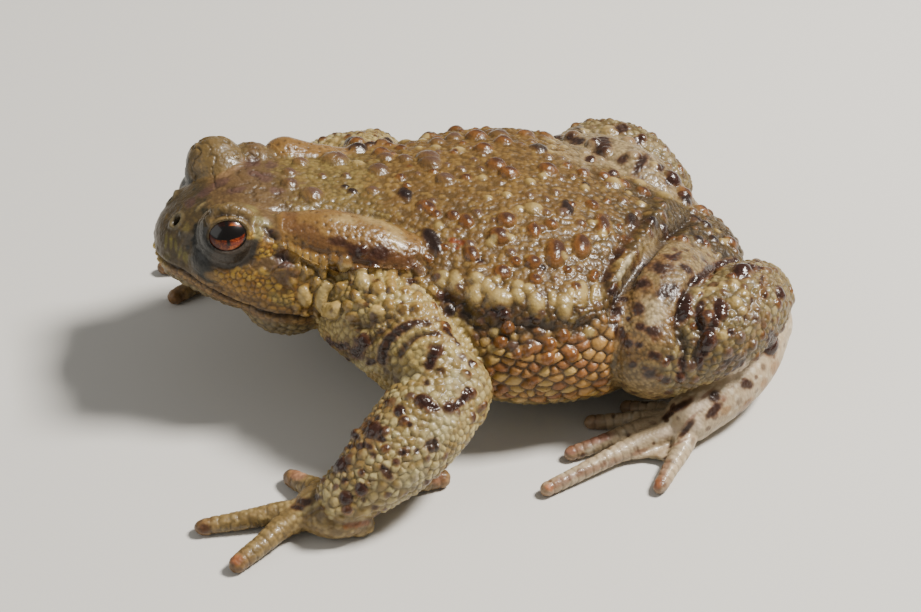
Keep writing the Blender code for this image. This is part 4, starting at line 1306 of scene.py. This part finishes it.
def scattered(skin, chosen, gap, draw):
    """Some of the chosen points, at least a gap apart, each with the points near it and their offsets."""
    free = np.ones(skin.count, bool)
    for point in draw.permutation(chosen):
        if free[point]:
            index, offset = skin.near(skin.places[point], gap)
            free[index] = False
            yield point, index, offset


def freckles(skin, weights):
    """Small brown marks between the dark ones on the legs."""
    draw = np.random.default_rng(SEEDS["freckles"])
    limbs = weights["thigh"] + 0.8 * weights["shank"] + 0.6 * weights["foot"]
    limbs = limbs + 0.5 * weights["forearm"] + 0.5 * weights["upper_arm"]
    chosen = np.flatnonzero(draw.random(skin.count) < limbs)
    for point, index, offset in scattered(skin, chosen, 2.2, draw):
        if draw.random() < 0.35:
            continue
        radius = draw.uniform(0.35, 0.85)
        away = np.linalg.norm(offset, axis=1) / radius + 0.7 * skin.ragged[index]
        strength = draw.uniform(0.35, 0.85)
        skin.tint(index, (1 - step(away, 0.6, 1.3)) * strength, linear("#4c2e1c"))


def mottles(skin):
    """Soft pale, yellowish, mauve or dark marks, some of them painted highlights and one a painted shadow."""
    for code, strength, marks in MOTTLES_PX:
        for mark in marks:
            index, away = skin.oval(*mark)
            soft = 1 - step(away + 0.5 * skin.ragged[index], 0.5, 1.2)
            skin.tint(index, soft * strength, linear(code))


def folds(skin):
    """Ridges and creases along their routes, fading out at both ends."""
    for pixels, height, width, tint in FOLDS_PX:
        route = skin.route(pixels)
        if len(route) < 2:
            continue
        index, away, share = skin.along(route, width * 2.6)
        fade = np.minimum(step(share, -0.02, 0.15), 1 - step(share, 0.85, 1.02))
        shape = np.exp(-((away / width) ** 2)) * fade
        skin.bend[index] += height * shape
        # On a crease the dark tint is painted shade; on a ridge it is the ridge's colour
        if tint:
            skin.tint(index, shape**1.5 * 0.75, linear(tint))


def overhang(skin):
    """The flank hangs over a deep crease on both sides."""
    near_route = skin.route(OVERHANG_PX)
    for route in (near_route, skin.other_side(near_route)):
        index, away, share = skin.along(route, 9.0)
        cell = np.clip(share * (len(route) - 1), 0, len(route) - 1.001)
        low = cell.astype(int)
        level = route[low, 2] + (route[low + 1, 2] - route[low, 2]) * (cell - low)
        above = skin.places[index, 2] - level
        fade = np.minimum(step(share, 0.0, 0.2), 1 - step(share, 0.85, 1.0))
        crease = np.exp(-((away / 0.75) ** 2))
        bulge = np.exp(-(((above - 3.0) / 2.4) ** 2)) * (1 - step(away, 6, 9))
        hollow = step(-above, 0.0, 1.0) * (1 - step(away, 2, 8))
        skin.bend[index] += fade * (OVERHANG_BULGE * bulge - OVERHANG_DEPTH * crease - 0.5 * hollow)
        # A dark tint along the crease: painted shade under the overhang
        skin.tint(index, crease * fade * 0.25, linear("#3c2a1a"))


def nostrils(skin):
    """A pit with a pale rim at each side of the snout."""
    x, y = FAR_NOSTRIL
    start = place_on_head((x - 2, y + 6, 60))
    aim = place_on_head((x, y, 33)) - start
    for centre in (skin.seen(*NEAR_NOSTRIL_PX)[0], skin.surface.ray_cast(start, aim.normalized())[0]):
        index, offset = skin.near(centre, 2.6)
        away = np.linalg.norm(offset, axis=1)
        pit = np.exp(-((away / 0.75) ** 4))
        rim = np.exp(-(((away - 1.3) / 0.4) ** 2))
        skin.bend[index] += 0.30 * rim - NOSTRIL_DEPTH * pit
        # The black pit is painted shade
        skin.tint(index, np.minimum(pit * 1.3, 1), linear("#0a0806"))
        skin.tint(index, rim * 0.35, linear("#8c8468"))


def mouth_line(skin):
    """The closed mouth: a thin crease under a rounded upper lip, all the way round the snout."""
    right = []
    left = []
    for side, route in ((RIGHT, right), (LEFT, left)):
        for x, z in MOUTH:
            start = place_on_head((x, 60 * side, z))
            aim = place_on_head((x, 0, z)) - start
            place = skin.surface.ray_cast(start, aim.normalized())[0]
            if place is not None:
                route.append(place)
    height = MOUTH[0][1] - 0.2
    ahead = place_on_head((-90, 0, height))
    aim = place_on_head((0, 0, height)) - ahead
    tip = skin.surface.ray_cast(ahead, aim.normalized())[0]
    route = np.array(left[::-1] + [tip] + right)
    fine = []
    for start, end in zip(route, route[1:]):
        for t in np.linspace(0, 1, 8, endpoint=False):
            middle = start + (end - start) * t
            fine.append(skin.surface.find_nearest(Vector(middle))[0])
    route = np.array(fine + [route[-1]])
    index, away, share = skin.along(route, 2.4)
    fade = np.minimum(step(share, 0.0, 0.03), 1 - step(share, 0.97, 1.0))
    cell = np.clip((share * (len(route) - 1)).astype(int), 0, len(route) - 1)
    above = skin.places[index, 2] - route[cell, 2]
    crease = np.exp(-((away / 0.32) ** 2))
    lip = np.exp(-(((above - 0.9) / 0.55) ** 2)) * (1 - step(away, 1.4, 2.4))
    skin.rise[index] *= 1 - crease * fade
    skin.bend[index] += fade * (0.22 * lip - 0.75 * crease)
    # The dark line along the crease is painted shade
    skin.tint(index, crease * fade * 0.9, linear("#1c1510"))


def gland_form(skin):
    """Sharpens the long gland behind each eye and sets its pores."""
    draw = np.random.default_rng(SEEDS["gland"])
    for side in (LEFT, RIGHT):
        away, share = capsule_distance(skin.places, PAROTOID[side])
        upward = skin.normals[:, 2] > -0.2
        on_gland = (1 - step(away, 0.1, 0.9)) * upward
        skin.bend += 0.55 * on_gland
        near = np.flatnonzero((away > 0.3) & (away < 3.4))
        skin.bend[near] -= 0.35 * np.exp(-(((away[near] - 1.3) / 0.6) ** 2))
        inside = np.flatnonzero((away < 0.1) & (skin.normals[:, 2] > 0.1))
        for point, index, offset in scattered(skin, inside, 1.15, draw):
            if draw.random() < 0.25:
                continue
            pit = np.exp(-((np.linalg.norm(offset, axis=1) / 0.27) ** 2))
            skin.bend[index] -= 0.16 * pit
            # Each pore is darkened: painted shade in its pit
            skin.tint(index, pit * 0.75, linear("#3c2e22"))
        # The gland's lower side is tinted darker brown: partly its own colour and partly painted shade under
        # the gland
        low_edge = on_gland * step(np.abs(skin.places[:, 1]), 15.5, 18.0) * step(share, 0.2, 0.6)
        skin.tint(np.arange(skin.count), low_edge * 0.75, linear("#54341e"))
        skin.gloss += 0.25 * on_gland


def hair_creases(skin, weights):
    """Fine upright creases of the flank and fine wrinkles along the back and legs; painted shade in creases
    and seams.
    """
    stretched = skin.places / np.array((1.0, 1.0, 4.0))
    lines = np.abs(noise(stretched, 2.6, 61))
    crease = (1 - step(lines, 0.0, 0.07)) * (weights["upper_flank"] + 0.6 * weights["jaw_corner"])
    skin.bend -= 0.16 * crease
    # Painted shade in the upright creases
    skin.shade *= 1 - 0.35 * crease
    lengthwise = skin.places / np.array((3.5, 1.0, 1.0))
    wrinkle = rough_noise(lengthwise, 1.1, 67)
    back = weights["back"] + weights["rump"] + weights["nape"] + weights["crown"] + 0.6 * weights["snout"]
    skin.bend += 0.13 * wrinkle * back
    # Painted light and shade on the back's wrinkles: lighter where they rise, darker in their troughs
    skin.shade *= 1 + 0.14 * wrinkle * back
    cells = np.abs(rough_noise(skin.places, 3.4, 73))
    seam = (1 - step(cells, 0.0, 0.09)) * (weights["crown"] + weights["lid"] + 0.5 * weights["nape"])
    skin.bend -= 0.22 * seam
    # Painted shade in the seams
    skin.shade *= 1 - 0.35 * seam
    ridges = rough_noise(skin.places, 1.5, 71)
    legs = weights["thigh"] * 0.4 + weights["shank"] + weights["forearm"] + weights["upper_arm"]
    skin.bend += 0.22 * ridges * legs


def digit_creases(skin):
    """Fine creases across the fingers and toes, and darker tips."""
    for side in (LEFT, RIGHT):
        digits = [(PALM[side], knuckle, tip, radius) for knuckle, tip, radius in FINGERS[side]]
        digits += [(FOOT[side][-1], knuckle, tip, TOE_RADIUS) for knuckle, tip in TOES[side]]
        for root, knuckle, tip, radius in digits:
            rows = digit_rows(root, knuckle, tip, radius)[1:]
            away, share = capsule_distance(skin.places, rows)
            index = np.flatnonzero(away < 0.6)
            length = math.dist(knuckle, tip)
            along = share[index] * length
            ring = np.abs((along / 1.5 + 0.25 * skin.ragged[index]) % 1 - 0.5) * 1.5
            crease = np.exp(-((ring / 0.16) ** 2))
            skin.bend[index] -= 0.12 * crease
            # Painted shade in each crease
            skin.shade[index] *= 1 - 0.3 * crease
            end = step(along, length - 3.0, length - 0.2)
            skin.tint(index, end * 0.4, linear("#7a4c2c"))


def small_warts(skin, weights):
    """Smaller warts between the large ones, most on the flanks."""
    draw = np.random.default_rng(SEEDS["small_warts"])
    likely = 0.7 * weights["upper_flank"] + 0.04 * weights["back"] + 0.3 * weights["rump"]
    likely = likely + 0.05 * weights["shank"] + 0.03 * weights["forearm"] - weights["nape"]
    likely = likely * (1 - step(-skin.places[:, 0], 20, 24))
    chosen = np.flatnonzero(draw.random(skin.count) < likely)
    for point, index, offset in scattered(skin, chosen, 2.6, draw):
        if skin.rise[point] > 0.55 or draw.random() < 0.3:
            continue
        kind = str(draw.choice(["brown", "smooth", "pale"], p=[0.22, 0.58, 0.20]))
        radius = draw.uniform(0.65, 1.2)
        raise_wart(skin, skin.places[point], skin.normals[point], radius, kind)


def far_side_warts(skin):
    """Warts that the photo hides, drawn over the far flank and back."""
    draw = np.random.default_rng(SEEDS["far_warts"])
    placed = []
    tries = 0
    while len(placed) < FAR_WART_COUNT and tries < 50 * FAR_WART_COUNT:
        tries += 1
        x = draw.uniform(-16, 44)
        angle = math.radians(draw.uniform(-10, 84))
        outward = Vector((0, math.cos(angle), math.sin(angle)))
        kind = str(draw.choice(["brown", "dark", "pale", "smooth"], p=[0.46, 0.2, 0.14, 0.2]))
        radius = draw.uniform(1.1, 2.2)
        place, normal = skin.surface.ray_cast(Vector((x, 0, 12)) + outward * 70, -outward)[:2]
        if place is None or place.y < 3 or abs(place.y) > 31.5:
            continue
        if all((place - other).length > 3.6 for other in placed):
            placed.append(place)
            raise_wart(skin, place, normal, radius, kind)


def far_limb_spots(skin, weights):
    """Dark marks on the limbs that the photo hides."""
    draw = np.random.default_rng(SEEDS["far_spots"])
    hidden = (skin.places[:, 1] > 8) & ~skin.front
    limbs = weights["thigh"] + weights["shank"] + weights["forearm"] + weights["upper_arm"] + weights["foot"]
    choices = np.flatnonzero(hidden & (limbs > 0.6) & (skin.normals[:, 2] > -0.3))
    for point, index, offset in scattered(skin, choices, 3.4, draw):
        if draw.random() < 0.3:
            continue
        radius = draw.uniform(0.5, 1.5)
        stretched = offset * draw.uniform(0.6, 1.4, 3)
        away = np.linalg.norm(stretched, axis=1) / radius + 0.6 * skin.ragged[index]
        skin.tint(index, (1 - step(away, 0.6, 1.25)) * 0.85, linear("#3a2822"))


def finish_mesh(body, skin):
    """Moves the points out by their heights and stores the colours on them."""
    height = skin.rise + skin.bend
    places = skin.places + skin.normals * height[:, None]
    places[:, 2] = np.maximum(places[:, 2], 0)
    body.data.vertices.foreach_set("co", places.astype(np.float32).ravel())
    body.data.update()
    colour = body.data.color_attributes.new("skin_colour", "FLOAT_COLOR", "POINT")
    rgba = np.ones((skin.count, 4), np.float32)
    rgba[:, :3] = np.clip(skin.colour, 0, 1)
    colour.data.foreach_set("color", rgba.ravel())
    gloss = body.data.attributes.new("gloss", "FLOAT", "POINT")
    gloss.data.foreach_set("value", np.clip(skin.gloss, 0, 1).astype(np.float32))
    body.data.shade_smooth()


def add_node(tree, kind, **settings):
    node = tree.nodes.new(kind)
    for name, value in settings.items():
        if name in node.inputs:
            node.inputs[name].default_value = value
        else:
            setattr(node, name, value)
    return node


def skin_material():
    """Moist skin: the painted colour with fine mottling, a fine grain in relief, and a wet film."""
    material = bpy.data.materials.new("moist_skin")
    material.use_nodes = True
    tree = material.node_tree
    shader = tree.nodes["Principled BSDF"]
    link = tree.links.new
    colour = add_node(tree, "ShaderNodeAttribute", attribute_name="skin_colour")
    where = tree.nodes.new("ShaderNodeTexCoord")
    mottle = add_node(tree, "ShaderNodeTexNoise", Scale=900.0, Detail=4.0, Roughness=0.6)
    link(where.outputs["Object"], mottle.inputs["Vector"])
    range_node = add_node(tree, "ShaderNodeMapRange")
    range_node.inputs["To Min"].default_value = 0.72
    range_node.inputs["To Max"].default_value = 1.28
    link(mottle.outputs["Fac"], range_node.inputs["Value"])
    mix = add_node(tree, "ShaderNodeMix", data_type="RGBA", blend_type="MULTIPLY")
    mix.inputs["Factor"].default_value = 1.0
    link(colour.outputs["Color"], mix.inputs["A"])
    link(range_node.outputs["Result"], mix.inputs["B"])
    link(mix.outputs["Result"], shader.inputs["Base Color"])
    fine = add_node(tree, "ShaderNodeTexVoronoi", Scale=1700.0)
    link(where.outputs["Object"], fine.inputs["Vector"])
    bump = add_node(tree, "ShaderNodeBump", Strength=0.35, Distance=0.00025)
    bump.invert = True
    link(fine.outputs["Distance"], bump.inputs["Height"])
    link(bump.outputs["Normal"], shader.inputs["Normal"])
    gloss = add_node(tree, "ShaderNodeAttribute", attribute_name="gloss")
    dryness = add_node(tree, "ShaderNodeMapRange")
    dryness.inputs["To Min"].default_value = 0.62
    dryness.inputs["To Max"].default_value = 0.22
    link(gloss.outputs["Fac"], dryness.inputs["Value"])
    link(dryness.outputs["Result"], shader.inputs["Roughness"])
    shader.inputs["Coat Weight"].default_value = 0.22
    shader.inputs["Coat Roughness"].default_value = 0.13
    shader.inputs["Specular IOR Level"].default_value = 0.4
    return material


def eye_material():
    """A copper iris flecked with gold round a flat black pupil, under a clear wet film, with painted shadow
    under the upper lid and round the rim.
    """
    material = bpy.data.materials.new("toad_eye")
    material.use_nodes = True
    tree = material.node_tree
    shader = tree.nodes["Principled BSDF"]
    link = tree.links.new
    where = tree.nodes.new("ShaderNodeTexCoord")
    split = tree.nodes.new("ShaderNodeSeparateXYZ")
    link(where.outputs["Object"], split.inputs["Vector"])

    def maths(operation, first, second=None):
        node = add_node(tree, "ShaderNodeMath", operation=operation)
        for socket, value in zip(node.inputs, (first, second)):
            if value is None:
                continue
            if isinstance(value, (int, float)):
                socket.default_value = value
            else:
                link(value, socket)
        return node.outputs[0]

    def round_the(length, height, level, forward=0.0):
        """How far out a point lies, 1 being the edge of an oval of that length, height and place."""
        along = maths("DIVIDE", maths("SUBTRACT", split.outputs["X"], forward), length / 2)
        above = maths("DIVIDE", maths("SUBTRACT", split.outputs["Y"], level), height / 2)
        return maths("SQRT", maths("ADD", maths("POWER", along, 2), maths("POWER", above, 2)))

    def ramp(value, start, end, low, high):
        node = add_node(tree, "ShaderNodeMapRange", interpolation_type="SMOOTHSTEP")
        for socket, number in (("From Min", start), ("From Max", end), ("To Min", low), ("To Max", high)):
            node.inputs[socket].default_value = number
        link(value, node.inputs["Value"])
        return node.outputs["Result"]

    oval = round_the(PUPIL_LENGTH, PUPIL_HEIGHT, PUPIL_LEVEL)
    flecks = add_node(tree, "ShaderNodeTexNoise", Scale=3.2, Detail=6.0, Roughness=0.75)
    link(where.outputs["Object"], flecks.inputs["Vector"])
    ragged = maths("ADD", oval, maths("MULTIPLY", maths("SUBTRACT", flecks.outputs["Fac"], 0.5), 0.5))
    iris = add_node(tree, "ShaderNodeValToRGB")
    iris.color_ramp.elements[0].position = 0.36
    iris.color_ramp.elements[0].color = (*linear("#140602"), 1)
    iris.color_ramp.elements[1].position = 0.64
    iris.color_ramp.elements[1].color = (*linear("#b86420"), 1)
    middle = iris.color_ramp.elements.new(0.5)
    middle.color = (*linear("#661f08"), 1)
    veins = add_node(tree, "ShaderNodeTexNoise", Scale=2.4, Detail=8.0, Roughness=0.8)
    link(where.outputs["Object"], veins.inputs["Vector"])
    link(veins.outputs["Fac"], iris.inputs["Fac"])
    outside_pupil = ramp(ragged, 0.96, 1.10, 0, 1)
    # Past the iris oval the rim inside the lids is darkened: painted shadow
    clear_of_rim_shadow = ramp(round_the(IRIS_LENGTH, IRIS_HEIGHT, 0.03, 0.06), 0.84, 0.97, 1, 0)
    beside_notch = ramp(maths("ABSOLUTE", split.outputs["X"]), 0.03, 0.10, 0, 1)
    below_notch = ramp(split.outputs["Y"], -0.50, -0.30, 1, 0)
    notch = maths("MINIMUM", maths("ADD", beside_notch, below_notch), 1)
    iris_share = maths("MULTIPLY", maths("MULTIPLY", outside_pupil, clear_of_rim_shadow), notch)
    dark = add_node(tree, "ShaderNodeMix", data_type="RGBA")
    link(iris_share, dark.inputs["Factor"])
    dark.inputs["A"].default_value = (*linear("#0a0605"), 1)
    slanted = maths("ADD", split.outputs["Y"], maths("MULTIPLY", split.outputs["X"], 0.35))
    # Painted shadow of the upper lid over the iris's upper part
    lid_shadow = ramp(slanted, 0.24, 0.44, 1.0, 0.10)
    towards_back = ramp(split.outputs["X"], -0.25, 0.40, 1.30, 0.55)
    shaded = add_node(tree, "ShaderNodeMix", data_type="RGBA", blend_type="MULTIPLY")
    shaded.inputs["Factor"].default_value = 1.0
    link(iris.outputs["Color"], shaded.inputs["A"])
    link(maths("MULTIPLY", lid_shadow, towards_back), shaded.inputs["B"])
    link(shaded.outputs["Result"], dark.inputs["B"])
    link(dark.outputs["Result"], shader.inputs["Base Color"])
    shader.inputs["Roughness"].default_value = 0.3
    shader.inputs["Specular IOR Level"].default_value = 0.2
    shader.inputs["Coat Weight"].default_value = 0.55
    shader.inputs["Coat Roughness"].default_value = 0.03
    return material


def open_lids(skin):
    """Draws the skin inside each lid opening back behind the eyeball and rounds the lid's margin."""
    for side in (LEFT, RIGHT):
        centre = np.array(eye_centre(side))
        look, up, ahead = (np.array(axis) for axis in eye_axes(side))
        offset = skin.places - centre
        reach = np.linalg.norm(offset, axis=1)
        out = offset @ look
        oval = np.hypot(offset @ ahead / (OPENING_LENGTH / 2), offset @ up / (OPENING_HEIGHT / 2))
        margin = (oval - 1) * OPENING_HEIGHT / 2
        near = (reach < 7.5) & (out > 0) & (margin < 1.6)
        margin = margin[near]
        direction = offset[near] / reach[near][:, None]
        outer = reach[near]
        lip = EYE_RADIUS + 0.42 + 0.14 * np.exp(-((margin - 0.5) / 0.45) ** 2)
        blend = 1 - step(margin, 0.5, 1.6)
        outer = outer + (lip - outer) * blend
        inner = EYE_RADIUS - 0.8
        open_share = 1 - step(margin, -0.25, 0.05)
        target = outer + (inner - outer) * open_share
        skin.places[near] = centre + direction * target[:, None]
        skin.normals[near] = direction


def make_eye(side, material, shift):
    """One eyeball, with its own axes so that the material knows where it looks."""
    look, up, forward = eye_axes(side)
    name = "eyeball_left" if side == LEFT else "eyeball_right"
    bpy.ops.mesh.primitive_uv_sphere_add(segments=96, ring_count=64, radius=1)
    eye = bpy.context.object
    eye.name = name
    axes = Matrix((forward, up, look)).transposed().to_4x4()
    place = (eye_centre(side) + shift) * MM
    eye.matrix_world = Matrix.Translation(place) @ axes @ Matrix.Scale(EYE_RADIUS * MM, 4)
    eye.data.shade_smooth()
    eye.data.materials.append(material)
    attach(eye, "root")
    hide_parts("eye_left" if side == LEFT else "eye_right")


def area_light(name, place, aim, size, power, colour):
    lamp = bpy.data.lights.new(name, "AREA")
    lamp.shape = "SQUARE"
    lamp.size = size
    lamp.energy = power
    lamp.color = colour
    holder = bpy.data.objects.new(name, lamp)
    holder.location = place
    holder.rotation_euler = (Vector(aim) - Vector(place)).to_track_quat("-Z", "Y").to_euler()
    bpy.context.scene.collection.objects.link(holder)


def studio(view, shift):
    """Camera, pale floor and soft lights."""
    lens = bpy.data.cameras.new("camera")
    lens.sensor_width = SENSOR
    lens.lens = LENS
    lens.clip_start = 0.01
    camera = bpy.data.objects.new("camera", lens)
    camera.location = (view.place + shift) * MM
    camera.rotation_euler = (-view.back).to_track_quat("-Z", "Y").to_euler()
    bpy.context.scene.collection.objects.link(camera)
    bpy.context.scene.camera = camera

    bpy.ops.mesh.primitive_plane_add(size=6)
    floor = bpy.context.object
    floor.name = "floor"
    paper = bpy.data.materials.new("pale_floor")
    paper.use_nodes = True
    surface = paper.node_tree.nodes["Principled BSDF"]
    surface.inputs["Base Color"].default_value = (0.62, 0.61, 0.58, 1)
    surface.inputs["Roughness"].default_value = 0.8
    floor.data.materials.append(paper)

    area_light("key", (0.42, 0.02, 0.62), (0, 0, 0.015), 0.16, 13.0, (1.0, 0.95, 0.88))
    area_light("fill", (-1.5, -0.5, 0.9), (0, 0, 0.015), 1.4, 8.0, (1.0, 0.98, 0.94))
    world = bpy.data.worlds.new("soft_room")
    bpy.context.scene.world = world
    world.use_nodes = True
    backdrop = world.node_tree.nodes["Background"]
    backdrop.inputs["Color"].default_value = (0.93, 0.91, 0.87, 1)
    backdrop.inputs["Strength"].default_value = 0.28


def main():
    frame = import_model()
    eye_low, eye_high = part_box("eye_left")
    shift = (eye_low + eye_high) / 2 / MM - eye_centre(LEFT)

    view = View()
    body = smooth_skin()
    skin = Skin(body, view)
    open_lids(skin)
    weights = region_weights(skin)
    fields = blend_regions(skin, weights)
    grains(skin, weights, fields)
    pavement(skin, weights)
    far_side_warts(skin)
    far_limb_spots(skin, weights)
    placed_warts(skin)
    small_warts(skin, weights)
    tubercles(skin)
    gland_form(skin)
    freckles(skin, weights)
    mottles(skin)
    spots(skin)
    bands(skin)
    overhang(skin)
    folds(skin)
    nostrils(skin)
    mouth_line(skin)
    digit_creases(skin)
    hair_creases(skin, weights)
    mottle = rough_noise(skin.places, 5.0, 83)
    # Between grains and cells the colour is darkened: partly its own darker tone and partly painted shade in
    # the gaps
    gap_tone_and_shade = 1 - GAP_TONE_AND_SHADE * (1 - skin.cover) * fields[2] ** 2
    skin.colour = COLOUR_GAIN * skin.colour**COLOUR_CONTRAST
    skin.colour *= (gap_tone_and_shade * skin.shade * (1 + BODY_MOTTLE * mottle))[:, None]
    finish_mesh(body, skin)
    body.data.transform(Matrix.Translation(shift))
    body.data.transform(Matrix.Scale(MM, 4))
    body.data.materials.append(skin_material())
    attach(body, "root")
    flesh = [name for name in frame["nodes"] if not name.startswith("eye")]
    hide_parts(*flesh)

    material = eye_material()
    for side in (LEFT, RIGHT):
        make_eye(side, material, shift)
    studio(view, shift)


main()
